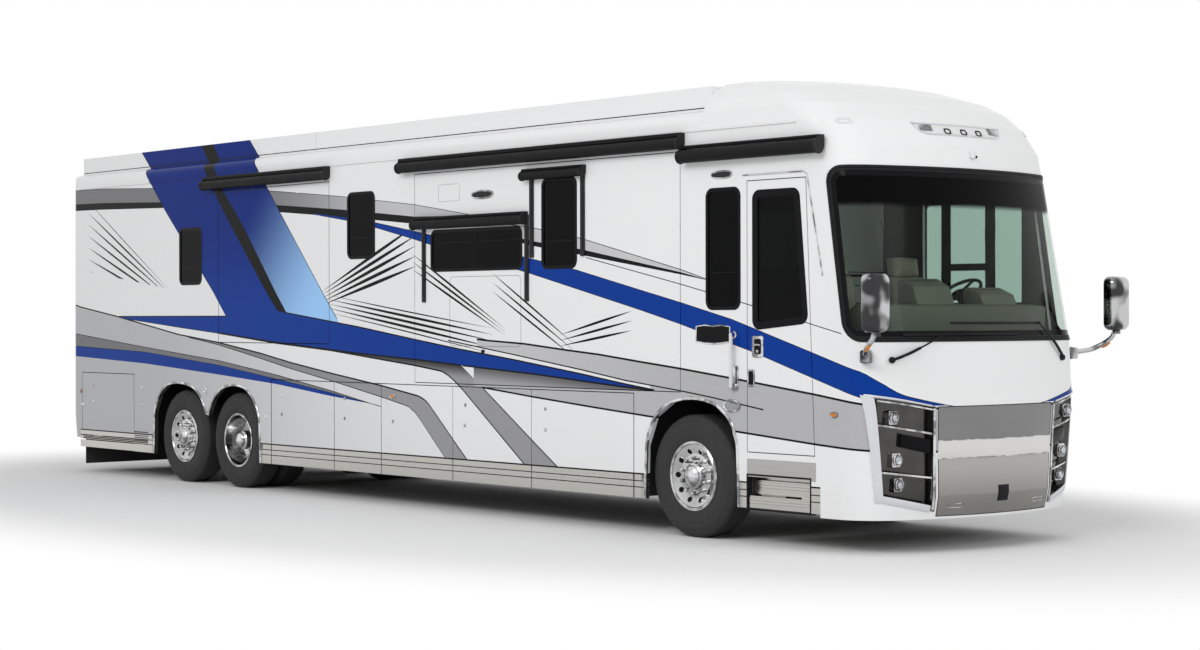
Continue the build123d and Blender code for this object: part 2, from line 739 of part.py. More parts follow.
def twin_rim(x, side):
    """Two deep wheels bolted back to back at the hub face, with the hub that stands out of the outer one."""
    disc = 12
    with BuildPart() as rim:
        with BuildSketch(Plane((x, 0, tyre_r), x_dir=(0, side, 0), z_dir=(side, 0, 0))):
            for direction, edge in ((1, tyre_outer_y), (-1, tyre_inner_y - twin_spacing)):
                far = edge - direction * tyre_width
                face = hub_face_y + direction * disc
                with BuildLine():
                    Polyline(
                        (far + direction * 23, bead_r),
                        (edge - direction * 23, bead_r),
                        (edge - direction * 18, bead_r + 10),
                        (edge - direction * 10, bead_r + 10),
                        (edge - direction * 16, bead_r - 14),
                        (face + direction * 80, bead_r - 26),
                        (face, 200),
                        (face, 100),
                        (hub_face_y, 100),
                        (hub_face_y, 205),
                        (far + direction * 18, bead_r - 12),
                        (far + direction * 10, bead_r + 10),
                        (far + direction * 18, bead_r + 10),
                        close=True,
                    )
                make_face()
            with BuildLine():
                Polyline(
                    (hub_face_y - 60, spindle_r + running_gap),
                    (hub_face_y - 60, 130),
                    (hub_face_y + disc, 130),
                    (hub_face_y + 40, 112),
                    (spindle_end_y + 20, 104),
                    (spindle_end_y + 40, 84),
                    (spindle_end_y + 40, 0),
                    (spindle_end_y + 10, 0),
                    (spindle_end_y + 10, spindle_r + running_gap),
                    close=True,
                )
            make_face()
        revolve(axis=Axis((x, 0, tyre_r), (0, 1, 0)))
        with Locations(Plane((x, side * hub_face_y, tyre_r), x_dir=(1, 0, 0), z_dir=(0, side, 0))):
            with PolarLocations(hand_hole_circle_r, hand_holes):
                Cylinder(hand_hole_r, 110, mode=Mode.SUBTRACT)
    return rim.part


for side, name in ((1, "left"), (-1, "right")):
    for axle, x in (("front", front_axle_x), ("tag", tag_axle_x)):
        write(tyre_ring(x, side * tyre_inner_y, side * tyre_outer_y), f"tyre_{axle}_{name}")
        write(rim_ring(x, side, tyre_outer_y - 50, tyre_outer_y + 5), f"rim_{axle}_{name}")
    twin_in = side * (tyre_inner_y - twin_spacing)
    twin_out = side * (tyre_outer_y - twin_spacing)
    outer_tyre = tyre_ring(drive_axle_x, side * tyre_inner_y, side * tyre_outer_y)
    write(outer_tyre + tyre_ring(drive_axle_x, twin_in, twin_out), f"tyre_drive_{name}")
    write(twin_rim(drive_axle_x, side), f"rim_drive_{name}")


# ---------------------------------------------------------------- baggage and service doors
def baggage_door(side, x0, x1, z):
    """A lower door: a hollow-backed slab with its ribbed bright strip along the bottom."""
    with BuildPart() as door:
        slab_y(rectangle((x0, x1), z), skin(side))
        pocket = rectangle((x0 + 60, x1 - 60), (z[0] + 60, z[1] - 60))
        slab_y(pocket, (side * (half_width - 15), side * (half_width - wall)), Mode.SUBTRACT)
    return door.part


for side, name, edges in ((-1, "right", right_bay_edges), (1, "left", left_bay_edges)):
    for number, (rear, front) in enumerate(zip(edges, edges[1:]), start=1):
        door = baggage_door(side, rear + door_gap / 2, front - door_gap / 2, (rocker_z, bay_top_z))
        write(door, f"baggage_door_{name}_{number}")
    write(baggage_door(side, *rear_door_x, rear_door_z), f"rear_service_door_{name}")

# ---------------------------------------------------------------- entry door and steps
door_window_z = (1810, 2900)
door_window = [
    (5286, 1776),
    (5903, 1832),
    (5804, 2900),
    (5286, 2900),
]
with BuildPart() as entry_door:
    slab_y(door_outline(0), skin(-1))
    slab_y(door_window, skin(-1, wall + 1), Mode.SUBTRACT)
write(entry_door.part, "entry_door")

with BuildPart() as entry_door_glass:
    slab_y(door_window, (-(half_width - 5), -(half_width - 15)))
write(entry_door_glass.part, "entry_door_glass")

with BuildPart() as entry_steps:
    tread = 30
    tread_y = (-half_width + 10, -half_width + step_depth)
    for low in (step_z[0], (step_z[0] + step_z[1] - tread) / 2, step_z[1] - tread):
        block(step_x, (tread_y[0] + (low - step_z[0]) * 0.5, tread_y[1]), (low, low + tread))
    for x in (step_x[0], step_x[1] - 12):
        block((x, x + 12), (tread_y[0] + 130, tread_y[1]), step_z)
write(entry_steps.part, "entry_steps")

# ---------------------------------------------------------------- cab
wheel_centre = (5800, 650, 2060)
column_lean = math.radians(35)
column_length = 480
column_r = 30


def column_at(distance):
    """A point on the steering column, measured down from the wheel's centre."""
    return (
        wheel_centre[0] + distance * math.sin(column_lean),
        wheel_centre[1],
        wheel_centre[2] - distance * math.cos(column_lean),
    )


with BuildPart() as dashboard:
    slab_y([(6120, 1300), (6350, 1300), (6400, 1955), (6250, 1975), (6080, 1880), (6060, 1560)], (-1080, 1080))
    block((5930, 6300), (-400, 400), (floor_top_z, 1320))
    rod(column_at(0), column_at(column_length + 20), column_r + running_gap, Mode.SUBTRACT)
write(dashboard.part, "dashboard")

Seat = namedtuple("Seat", "x y")
with BuildPart() as cab_seats:
    for seat in (Seat(5200, 650), Seat(5330, -380)):
        block((seat.x, seat.x + 500), (seat.y - 260, seat.y + 260), (1640, 1780))
        block((seat.x + 100, seat.x + 400), (seat.y - 170, seat.y + 170), (floor_top_z, 1640))
        back = [(seat.x, 1780), (seat.x + 130, 1780), (seat.x + 20, 2400), (seat.x - 110, 2400)]
        slab_y(back, (seat.y - 250, seat.y + 250))
write(cab_seats.part, "cab_seats")

with BuildPart() as steering_wheel:
    rim_plane = Plane(wheel_centre, x_dir=(0, 1, 0), z_dir=(-math.sin(column_lean), 0, math.cos(column_lean)))
    with Locations(rim_plane):
        Torus(215, 15)
        Cylinder(60, 40)
        with PolarLocations(0, 3, start_angle=30):
            Box(215, 30, 12, align=(Align.MIN, Align.CENTER, Align.CENTER))
    rod(column_at(0), column_at(column_length), column_r)
write(steering_wheel.part, "steering_wheel")

# ---------------------------------------------------------------- outside fittings
with BuildPart() as mirrors:
    for side in (-1, 1):
        head_x = (mirror_front_x - mirror_depth, mirror_front_x)
        head_y = (side * (mirror_out_y - mirror_width), side * mirror_out_y)
        block(head_x, head_y, (mirror_bottom_z, mirror_top_z))
        elbow = (6640, side * 1290, 1590)
        rod((6520, side * 1150, 1540), elbow, 28)
        rod(elbow, (6830, side * 1470, mirror_bottom_z + 60), 28)
    add(nose_solid, mode=Mode.SUBTRACT)
write(mirrors.part, "mirrors")

blade_r = 9
blade_z = (1740, 2440)
blade_y = 130
pivot_y = 560
pivot_z = 1640
with BuildPart() as wipers:
    for side in (-1, 1):
        lift = blade_r + seat_gap - glass_inset
        low, high = [(nose_x_at(blade_y, z) + lift, side * blade_y, z) for z in blade_z]
        middle = ((low[0] + high[0]) / 2, side * blade_y, (low[2] + high[2]) / 2)
        pivot = (nose_x_at(pivot_y, pivot_z) + 22, side * pivot_y, pivot_z)
        rod((pivot[0] - 60, pivot[1], pivot_z), (pivot[0] + 14, pivot[1], pivot_z), 22)
        rod(pivot, (middle[0] + 16, middle[1], middle[2]), blade_r)
        rod(low, high, blade_r)
    add(nose_solid, mode=Mode.SUBTRACT)
write(wipers.part, "wipers")


def ring_outline(points, grow):
    """Arch points moved outwards from the arch's middle by grow."""
    middle = (points[0][0] + points[-1][0]) / 2
    half = (points[-1][0] - points[0][0]) / 2
    scale = (half + grow) / half
    return [(middle + (x - middle) * scale, z + grow * max(0, (z - 250)) / 934) for x, z in points]


tray_wall = 14
tray_depth = 62
frame_proud = 8
frame_width = 32


def nose_prism(outline, grow=0.0):
    """An outline in y and z, grown all round, run through the whole nose."""
    edge = offset(face_x(nose_x[0], outline), amount=grow) if grow else face_x(nose_x[0], outline)
    return extrude(edge, amount=nose_x[1] - nose_x[0], dir=(1, 0, 0))


tray = nose_shell(0, tray_depth + tray_wall) & nose_prism(lamp_outline)
tray -= nose_prism(lamp_outline, -tray_wall) - cap_solid(nose_sections, tray_depth)
frame = (cap_solid(nose_sections, -frame_proud) - nose_solid) & nose_prism(lamp_outline, frame_width)
frame -= nose_prism(lamp_outline, -tray_wall)
frame -= nose_prism(hood_outline(door_gap))
bezel = tray + frame
for z in lamp_z:
    socket = (nose_x_at(lamp_y, z) - tray_depth - 40, lamp_y, z)
    bezel -= Plane(socket, z_dir=(1, 0, 0)) * Cylinder(lamp_r, 200)
with BuildPart() as bright_trims:
    add(bezel)
    add(mirror(bezel, about=Plane.XZ, mode=Mode.PRIVATE))
    for side in (-1, 1):
        for arch in (front_arch, rear_arch):
            trim_y = (side * half_width, side * (half_width + 6))
            with BuildPart(mode=Mode.PRIVATE) as ring:
                slab_y(ring_outline(arch, 38), trim_y)
                slab_y(arch, trim_y, Mode.SUBTRACT)
                block((-7000, 7000), (trim_y[0] - side, trim_y[1] + side), (0, rocker_z), Mode.SUBTRACT)
            add(ring.part)
write(bright_trims.part, "bright_trims")

with BuildPart() as lamps:
    for side in (-1, 1):
        for z in lamp_z:
            back = nose_x_at(lamp_y, z) - tray_depth - tray_wall
            rod((back, side * lamp_y, z), (back + lamp_length, side * lamp_y, z), lamp_r)
write(lamps.part, "lamps")

with BuildPart() as roof_awnings:
    for side in (-1, 1):
        for x in ((-6697, -1470), (-1464, brow_back_x - 2)):
            block(x, (side * 1020, side * 1170), (roof_rail_z, 3823))
    add(roof_solid((-7000, 7000), 0, eaves_z), mode=Mode.SUBTRACT)
write(roof_awnings.part, "roof_awnings")

Topper = namedtuple("Topper", "side x0 x1 z0 z1")
with BuildPart() as slide_toppers:
    for topper in (
        Topper(-1, -3520, -1020, 3290, 3445),
        Topper(-1, 290, 4430, 3290, 3445),
        Topper(1, -3520, 4430, 3290, 3445),
        Topper(-1, 4455, 6040, 3165, 3320),
    ):
        topper_y = (topper.side * half_width, topper.side * (half_width + 110))
        block((topper.x0, topper.x1), topper_y, (topper.z0, topper.z1))
write(slide_toppers.part, "slide_toppers")

with BuildPart() as window_awnings:
    for x, z in (((525, 2293), (2724, 2850)), ((2330, 3133), (3125, 3237))):
        block(x, (-half_width, -half_width - 90), z)
write(window_awnings.part, "window_awnings")

with BuildPart() as rooftop_units:
    for x in (-4900, -900, 2600):
        block((x - 480, x + 480), (-340, 340), (roof_crown_z - 25, 3945))
    add(roof_solid((-7000, 7000), 0, eaves_z), mode=Mode.SUBTRACT)
write(rooftop_units.part, "rooftop_units")

with BuildPart() as mud_flap:
    block(flap_x, (-1200, 1200), (90, flap_top_z))
write(mud_flap.part, "mud_flap")
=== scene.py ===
# %% Load the frame
import math

import bmesh
import bpy
from mathutils import Matrix, Vector


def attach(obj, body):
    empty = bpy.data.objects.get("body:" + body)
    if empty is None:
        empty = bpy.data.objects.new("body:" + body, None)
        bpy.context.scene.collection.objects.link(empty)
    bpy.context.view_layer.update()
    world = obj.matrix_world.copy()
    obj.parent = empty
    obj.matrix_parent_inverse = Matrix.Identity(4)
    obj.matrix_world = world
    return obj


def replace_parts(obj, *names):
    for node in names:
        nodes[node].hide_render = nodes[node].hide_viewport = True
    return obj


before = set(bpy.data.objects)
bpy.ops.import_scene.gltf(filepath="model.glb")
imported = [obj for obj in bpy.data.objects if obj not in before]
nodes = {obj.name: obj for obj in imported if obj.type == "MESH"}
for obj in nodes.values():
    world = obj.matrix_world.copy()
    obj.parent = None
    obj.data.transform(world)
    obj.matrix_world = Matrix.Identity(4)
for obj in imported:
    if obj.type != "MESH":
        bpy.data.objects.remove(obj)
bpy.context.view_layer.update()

# %% [markdown]
# ## The camera
# The coach is looked at from low in front of its right-hand corner, as a
# buyer sees it on a forecourt. A long lens far away keeps the side nearly
# straight. The camera is placed by its real distance and height in metres,
# and not by eye, so that the whole coach fits the frame and the ground under
# the tyres still shows.

# %% Camera
image_size = (1200, 650)
camera_spot = Vector((18.688, -14.152, 1.878))
camera_yaw = math.radians(39.948)
camera_pitch = math.radians(-0.215)
camera_roll = math.radians(0.099)
lens_mm = 67.75

look = Vector((-math.cos(camera_yaw) * math.cos(camera_pitch),
               math.sin(camera_yaw) * math.cos(camera_pitch),
               math.sin(camera_pitch)))
camera_data = bpy.data.cameras.new("forecourt_camera")
camera_data.sensor_fit = "HORIZONTAL"
camera_data.sensor_width = 36.0
camera_data.lens = lens_mm
camera_data.clip_end = 400.0
camera = bpy.data.objects.new("forecourt_camera", camera_data)
camera.location = camera_spot
camera.rotation_mode = "QUATERNION"
turn = look.to_track_quat("-Z", "Y").to_matrix() @ Matrix.Rotation(-camera_roll, 3, "Z")
camera.rotation_quaternion = turn.to_quaternion()
bpy.context.scene.collection.objects.link(camera)
bpy.context.scene.camera = camera
bpy.context.scene.view_settings.view_transform = "Standard"
print("camera", tuple(round(v, 2) for v in camera.location), "frame", image_size)

# %% [markdown]
# ## Building shaders without losing the thread
# A node tree grows fast, so a small builder keeps each line readable: one
# call adds a node, sets what is constant and links what is not. Shared
# effects (paint texture, dust, brushed grain) are node groups made with it,
# and each material places a group with its own values.

# %% A small node builder
class Net:
    """Adds nodes to one tree. A value is a number, a colour or a socket."""

    def __init__(self, tree):
        self.tree = tree

    def node(self, kind, **settings):
        made = self.tree.nodes.new(kind)
        for name, value in settings.items():
            setattr(made, name, value)
        return made

    def feed(self, socket, value):
        if isinstance(value, bpy.types.NodeSocket):
            self.tree.links.new(value, socket)
        elif value is not None:
            socket.default_value = value

    def shade(self, name, value):
        """Feeds an input of the material's own shader."""
        self.feed(self.shader.inputs[name], value)

    def math(self, operation, a, b=None, c=None, clamp=False):
        made = self.node("ShaderNodeMath", operation=operation, use_clamp=clamp)
        for socket, value in zip(made.inputs, (a, b, c)):
            self.feed(socket, value)
        return made.outputs[0]

    def axes(self, place):
        """The X, Y and Z of a place."""
        made = self.node("ShaderNodeSeparateXYZ")
        self.feed(made.inputs[0], place)
        return made.outputs

    def mix(self, share, a, b):
        made = self.node("ShaderNodeMix", data_type="RGBA")
        self.feed(made.inputs["Factor"], share)
        self.feed(made.inputs["A"], a)
        self.feed(made.inputs["B"], b)
        return made.outputs["Result"]

    def ramp(self, value, low, high, to_low=0.0, to_high=1.0):
        made = self.node("ShaderNodeMapRange", interpolation_type="SMOOTHSTEP")
        self.feed(made.inputs["Value"], value)
        self.feed(made.inputs["From Min"], low)
        self.feed(made.inputs["From Max"], high)
        self.feed(made.inputs["To Min"], to_low)
        self.feed(made.inputs["To Max"], to_high)
        return made.outputs["Result"]

    def noise(self, vector, scale, detail=2.0, roughness=0.5):
        made = self.node("ShaderNodeTexNoise")
        self.feed(made.inputs["Vector"], vector)
        self.feed(made.inputs["Scale"], scale)
        self.feed(made.inputs["Detail"], detail)
        self.feed(made.inputs["Roughness"], roughness)
        return made.outputs["Fac"]

    def group(self, name, **values):
        made = self.node("ShaderNodeGroup", node_tree=bpy.data.node_groups[name])
        for socket_name, value in values.items():
            self.feed(made.inputs[socket_name.replace("_", " ")], value)
        return made


def rgb(red, green, blue):
    return (red, green, blue, 1.0)


def new_group(name, inputs, outputs):
    """A node group with named sockets. inputs are (name, kind, default)."""
    tree = bpy.data.node_groups.new(name, "ShaderNodeTree")
    for socket_name, kind, default in inputs:
        made = tree.interface.new_socket(socket_name, in_out="INPUT", socket_type=kind)
        if default is not None:
            made.default_value = default
    for socket_name, kind in outputs:
        tree.interface.new_socket(socket_name, in_out="OUTPUT", socket_type=kind)
    net = Net(tree)
    return net, net.node("NodeGroupInput"), net.node("NodeGroupOutput")


NUMBER, COLOUR, VECTOR = "NodeSocketFloat", "NodeSocketColor", "NodeSocketVector"


def new_material(name, **sockets):
    """A Principled material. sockets are plain values for its own inputs."""
    made = bpy.data.materials.new(name)
    made.use_nodes = True
    net = Net(made.node_tree)
    shader = made.node_tree.nodes["Principled BSDF"]
    for socket_name, value in sockets.items():
        shader.inputs[socket_name.replace("_", " ")].default_value = value
    net.shader = shader
    net.place = net.node("ShaderNodeTexCoord").outputs["Object"]
    net.material = made
    return net


def bump(net, height, distance, strength=1.0):
    made = net.node("ShaderNodeBump")
    made.inputs["Strength"].default_value = strength
    made.inputs["Distance"].default_value = distance
    net.feed(made.inputs["Height"], height)
    net.shade("Normal", made.outputs["Normal"])


def paint_nodes(finish, *names):
    for name in names:
        nodes[name].data.materials.clear()
        nodes[name].data.materials.append(finish.material)


print("node builder ready")

# %% [markdown]
# ## Effects that several finishes share
# Sprayed paint is never glass-flat: it has a fine orange-peel ripple. Road
# dust gathers low on the body. Rolled stainless and aluminium show fine
# grain along one direction. Each is a group that puts out a height or a
# mask, so a material decides how strongly it shows.

# %% Orange peel
net, given, result = new_group("orange_peel", [("Place", VECTOR, None), ("Scale", NUMBER, 260.0)],
                               [("Height", NUMBER)])
fine = net.noise(given.outputs["Place"], given.outputs["Scale"], 1.0)
broad = net.noise(given.outputs["Place"], 3.0, 1.0)
net.feed(result.inputs["Height"], net.math("MULTIPLY_ADD", broad, 3.0, fine))

# %% Road dust
net, given, result = new_group("road_dust", [("Place", VECTOR, None), ("Top", NUMBER, 0.9)],
                               [("Mask", NUMBER)])
low = net.ramp(net.axes(given.outputs["Place"])["Z"], 0.1, given.outputs["Top"], 1.0, 0.0)
patches = net.ramp(net.noise(given.outputs["Place"], 2.3, 4.0, 0.6), 0.35, 0.75)
net.feed(result.inputs["Mask"], net.math("MULTIPLY", low, patches))

# %% Brushed grain
net, given, result = new_group("brushed_grain",
                               [("Place", VECTOR, None), ("Stretch", VECTOR, (2.0, 60.0, 400.0))],
                               [("Grain", NUMBER)])
scaled = net.node("ShaderNodeVectorMath", operation="MULTIPLY")
net.feed(scaled.inputs[0], given.outputs["Place"])
net.feed(scaled.inputs[1], given.outputs["Stretch"])
net.feed(result.inputs["Grain"], net.noise(scaled.outputs[0], 1.0, 3.0, 0.7))
print("shared effects:", sorted(g.name for g in bpy.data.node_groups))

# %% [markdown]
# ## The livery
# The coach wears sprayed bands in deep blue, black, greys and silver over
# white. A painter masks such bands with tape along lines that run the length
# of the body. The shader does the same: each edge is a line given by a few
# points (distance along the coach, height), held in a Float Curve, and a band
# is what lies between two edges. Because the lines use the coach's own
# coordinates, the bands run unbroken over walls, doors, room fronts and caps.

# %% Edges of the bands, in metres along the coach and up
band_edges = {
    "diagonal_rear": [(-7.0, 5.45), (-4.959, 3.575), (-4.506, 3.134), (-3.403, 2.166),
                      (-3.12, 1.889), (-1.0, -0.2)],
    "black_rear": [(-6.0, 6.2), (-3.808, 3.779), (-3.156, 3.033), (-2.292, 2.158),
                   (-2.098, 1.982), (-0.5, 0.5)],
    "black_front": [(-6.0, 6.5), (-3.532, 3.763), (-3.198, 3.299), (-2.749, 2.872),
                    (-2.098, 2.156), (-1.887, 1.941), (-0.5, 0.6)],
    "panel_front": [(-6.0, 7.2), (-2.767, 3.79), (-2.432, 3.463), (-2.004, 3.003),
                    (-1.109, 2.065), (-0.9, 1.86), (0.5, 0.5)],
    "swoosh_top": [(-7.0, 2.5), (-1.887, 1.925), (-0.478, 1.774), (0.529, 1.650), (1.233, 1.567),
                   (2.146, 1.470), (3.048, 1.365), (3.629, 1.291), (4.05, 1.243), (7.0, 0.9)],
    "swoosh_low": [(-7.0, 1.98), (-5.52, 1.872), (-4.172, 1.768), (-3.277, 1.702),
                   (-2.078, 1.607), (-0.478, 1.505), (0.484, 1.459), (1.233, 1.413),
                   (2.440, 1.346), (3.048, 1.302), (3.629, 1.262), (4.05, 1.240), (7.0, 1.1)],
    "shade_low": [(-7.0, 2.0), (-3.3, 1.702), (-2.078, 1.599), (-1.024, 1.533),
                  (-0.287, 1.468), (0.484, 1.400), (0.93, 1.352), (1.022, 1.322),
                  (1.129, 1.268), (1.273, 1.181), (2.223, 0.517), (4.0, -0.8)],
    "silver_top": [(-7.0, 2.085), (-6.564, 2.004), (-5.634, 1.888), (-4.172, 1.681),
                   (-3.277, 1.596), (-2.4, 1.487), (-1.799, 1.396), (-1.024, 1.297),
                   (-0.096, 1.188), (0.56, 1.098), (0.688, 1.050), (1.235, 0.598),
                   (1.342, 0.513), (2.5, -0.4)],
    "sweep_low": [(-7.0, 2.3), (-3.95, 1.650), (-3.277, 1.570), (-2.4, 1.432), (-1.798, 1.332),
                  (-0.948, 1.209), (-0.095, 1.074), (0.371, 0.995), (0.508, 0.925),
                  (0.978, 0.521), (2.0, -0.35)],
    "rear_grey_top": [(-7.0, 1.705), (-6.851, 1.691), (-4.978, 1.530), (-3.276, 1.395),
                      (-2.065, 1.258), (-1.023, 1.117), (-0.30, 1.005), (7.0, 0.0)],
    "rear_blue_top": [(-7.0, 1.54), (-6.851, 1.533), (-4.978, 1.474), (-3.276, 1.345),
                      (-1.798, 1.185), (-1.023, 1.095), (-0.30, 1.004), (7.0, 0.0)],
    "rear_blue_low": [(-7.0, 1.415), (-6.851, 1.408), (-4.978, 1.340), (-3.276, 1.240),
                      (-2.065, 1.160), (-1.023, 1.060), (-0.30, 1.003), (7.0, 0.0)],
    "second_front": [(-2.0, 3.4), (1.585, 1.209), (2.338, 0.743), (2.719, 0.511), (4.5, -0.6)],
    "wedge_low": [(-7.0, 2.0), (1.585, 1.209), (2.337, 1.142), (3.245, 1.069), (4.087, 1.006),
                  (5.046, 0.926), (6.004, 0.855), (6.9, 0.80)],
    "belt_top": [(-7.0, 2.2), (1.5, 1.665), (1.65, 1.654), (2.230, 1.627), (2.848, 1.575),
                 (3.302, 1.541), (3.864, 1.484), (4.381, 1.434), (5.119, 1.353), (6.003, 1.251),
                 (6.483, 1.187), (7.0, 1.12)],
    "belt_dart": [(-7.0, 2.6), (1.044, 1.649), (2.146, 1.516), (3.048, 1.403), (3.667, 1.318),
                  (4.382, 1.245), (4.746, 1.203), (5.427, 1.110), (7.0, 0.9)],
    "stripe_top": [(-7.0, 4.0), (-1.329, 2.962), (-0.48, 2.872), (0.485, 2.719), (1.4, 2.568),
                   (2.278, 2.421), (2.98, 2.300), (3.862, 2.109), (4.384, 1.998), (5.025, 1.853),
                   (6.002, 1.574), (6.482, 1.435), (6.606, 1.351), (6.72, 1.238), (6.785, 1.172),
                   (7.0, 0.96)],
    "stripe_low": [(-7.0, 4.05), (-1.329, 2.950), (-0.48, 2.835), (0.485, 2.640), (0.756, 2.581),
                   (2.278, 2.286), (3.863, 1.936), (4.380, 1.815), (5.264, 1.589),
                   (6.003, 1.373), (6.482, 1.234), (6.60, 1.185), (6.72, 1.172), (7.0, 1.168)],
    "pin": [(-7.0, 4.6), (3.131, 2.405), (4.384, 2.154), (5.117, 1.998), (5.907, 1.824),
            (6.271, 1.741), (7.0, 1.58)],
    "upper_grey_top": [(-7.0, 3.436), (-6.0, 3.425), (-4.754, 3.375), (-3.4, 3.315),
                       (-2.217, 3.237), (-0.848, 3.120), (0.485, 2.982), (1.452, 2.842),
                       (7.0, 2.0)],
    "upper_grey_low": [(-7.0, 3.27), (-6.0, 3.254), (-4.618, 3.209), (-3.4, 3.155),
                       (-2.081, 3.078), (-0.848, 2.985), (0.485, 2.864), (1.452, 2.841),
                       (7.0, 1.99)],
    "upper_black_low": [(-7.0, 3.188), (-6.0, 3.174), (-4.484, 3.138), (-3.4, 3.09),
                        (-2.004, 2.998), (-0.848, 2.910), (0.485, 2.793), (1.452, 2.73),
                        (7.0, 1.9)],
    "dart_top": [(-7.0, 4.4), (1.50, 2.800), (2.397, 2.690), (3.055, 2.580), (4.384, 2.279),
                 (4.80, 2.170), (7.0, 1.5)],
    "dart_grey_low": [(-7.0, 3.9), (1.50, 2.720), (2.397, 2.567), (3.056, 2.482), (4.384, 2.256),
                      (4.80, 2.170), (7.0, 1.5)],
    "dart_black_low": [(-7.0, 3.8), (1.50, 2.690), (2.397, 2.523), (3.056, 2.431),
                       (4.384, 2.236), (4.80, 2.170), (7.0, 1.5)],
}
half_span = 7.0
sheet_height = 4.0
print(len(band_edges), "taped edges")

# %% The livery as a node group
net, given, result = new_group("livery", [("Place", VECTOR, None)],
                               [("Color", COLOUR), ("Silver", NUMBER)])
along, _, up = net.axes(given.outputs["Place"])
share_along = net.math("MULTIPLY_ADD", along, 0.5 / half_span, 0.5)
share_up = net.math("MULTIPLY", up, 1.0 / sheet_height)


def edge_line(points, smooth):
    made = net.node("ShaderNodeFloatCurve")
    curve = made.mapping.curves[0]
    made.mapping.use_clip = False
    made.mapping.extend = "EXTRAPOLATED"
    for x, z in points[1:-1]:
        curve.points.new(x / (2 * half_span) + 0.5, z / sheet_height)
    curve.points[0].location = (points[0][0] / (2 * half_span) + 0.5, points[0][1] / sheet_height)
    curve.points[-1].location = (points[-1][0] / (2 * half_span) + 0.5, points[-1][1] / sheet_height)
    for point in curve.points:
        point.handle_type = "AUTO" if smooth else "VECTOR"
    made.mapping.update()
    net.feed(made.inputs["Value"], share_along)
    return made.outputs["Value"]


edge = {name: edge_line(points, False) for name, points in band_edges.items()}


def above(name):
    return net.math("GREATER_THAN", share_up, edge[name])


def below(name):
    return net.math("LESS_THAN", share_up, edge[name])


def lower_than(z):
    return net.math("LESS_THAN", up, z)


def outside(mask):
    return net.math("SUBTRACT", 1.0, mask)


def behind(x):
    return net.math("LESS_THAN", along, x)


def ahead(x):
    return net.math("GREATER_THAN", along, x)


def both(*masks):
    joined = masks[0]
    for mask in masks[1:]:
        joined = net.math("MULTIPLY", joined, mask)
    return joined


def either(*masks):
    joined = masks[0]
    for mask in masks[1:]:
        joined = net.math("MAXIMUM", joined, mask)
    return joined


def taped_line(name, width):
    gap = net.math("ABSOLUTE", net.math("SUBTRACT", share_up, edge[name]))
    return net.math("LESS_THAN", gap, 0.5 * width / sheet_height)


white = rgb(0.80, 0.803, 0.81)
blue = rgb(0.001, 0.038, 0.275)
deep_blue = rgb(0.001, 0.020, 0.190)
sky_blue = rgb(0.33, 0.58, 0.92)
black = rgb(0.006, 0.006, 0.007)
dark_grey = rgb(0.135, 0.135, 0.142)
mid_grey = rgb(0.25, 0.25, 0.262)
silver = rgb(0.44, 0.445, 0.465)

# stations where bands begin or end
silver_end, sweep_start, grey_end = 1.4, -3.95, -0.3
swoosh_end, belt_start, dart_start, dart_end, upper_end = 4.05, 4.0, 1.5, 4.8, 1.45

colour = net.mix(0.0, white, white)
# rear silver field, fading to white towards the middle of the coach
field = both(below("silver_top"), behind(silver_end))
fade = net.ramp(along, -5.0, 0.9)
colour = net.mix(field, colour, net.mix(fade, silver, rgb(0.74, 0.744, 0.755)))
sweep = both(below("silver_top"), above("sweep_low"), ahead(sweep_start), behind(silver_end))
colour = net.mix(sweep, colour, net.mix(net.ramp(along, -3.5, 0.4), rgb(0.15, 0.15, 0.158), mid_grey))
rear_grey = both(below("rear_grey_top"), above("rear_blue_top"), behind(grey_end))
colour = net.mix(rear_grey, colour, rgb(0.12, 0.12, 0.128))
rear_blue = both(below("rear_blue_top"), above("rear_blue_low"), behind(grey_end))
colour = net.mix(rear_blue, colour, blue)
# grey and second band below the swoosh
drop = both(above("shade_low"), below("second_front"), below("swoosh_low"), ahead(-3.3))
wedge = both(above("wedge_low"), below("swoosh_low"), ahead(upper_end), behind(belt_start))
shade = net.ramp(net.math("SUBTRACT", edge["swoosh_low"], share_up), 0.0, 0.035)
near_swoosh = net.mix(shade, rgb(0.05, 0.05, 0.052), rgb(0.31, 0.31, 0.325))
colour = net.mix(either(drop, wedge), colour, near_swoosh)
second = both(above("shade_low"), below("second_front"), lower_than(1.228))
colour = net.mix(second, colour, mid_grey)
colour = net.mix(both(wedge, lower_than(1.238)), colour, rgb(0.42, 0.42, 0.435))
# belt silver over the front wheel, the entry door and the cap
belt = both(below("belt_top"), above("wedge_low"), ahead(belt_start))
ribbon = both(below("belt_top"), above("belt_dart"), ahead(dart_start), behind(4.3))
colour = net.mix(either(belt, ribbon), colour,
                 net.mix(net.ramp(along, 1.5, 5.0), rgb(0.50, 0.50, 0.515), rgb(0.40, 0.40, 0.415)))
# upper bands
upper_grey = both(below("upper_grey_top"), above("upper_grey_low"), behind(upper_end))
colour = net.mix(upper_grey, colour, net.mix(net.ramp(along, -2.6, 0.6), dark_grey, rgb(0.5, 0.5, 0.52)))
upper_black = both(below("upper_grey_low"), above("upper_black_low"), behind(upper_end))
colour = net.mix(upper_black, colour, black)
dart = both(below("dart_top"), above("dart_grey_low"), ahead(dart_start), behind(dart_end))
colour = net.mix(dart, colour, rgb(0.52, 0.52, 0.54))
dart_black = both(below("dart_grey_low"), above("dart_black_low"), ahead(dart_start), behind(dart_end))
colour = net.mix(dart_black, colour, black)
# long blue stripe
stripe = both(below("stripe_top"), above("stripe_low"), ahead(-1.33))
colour = net.mix(stripe, colour, blue)
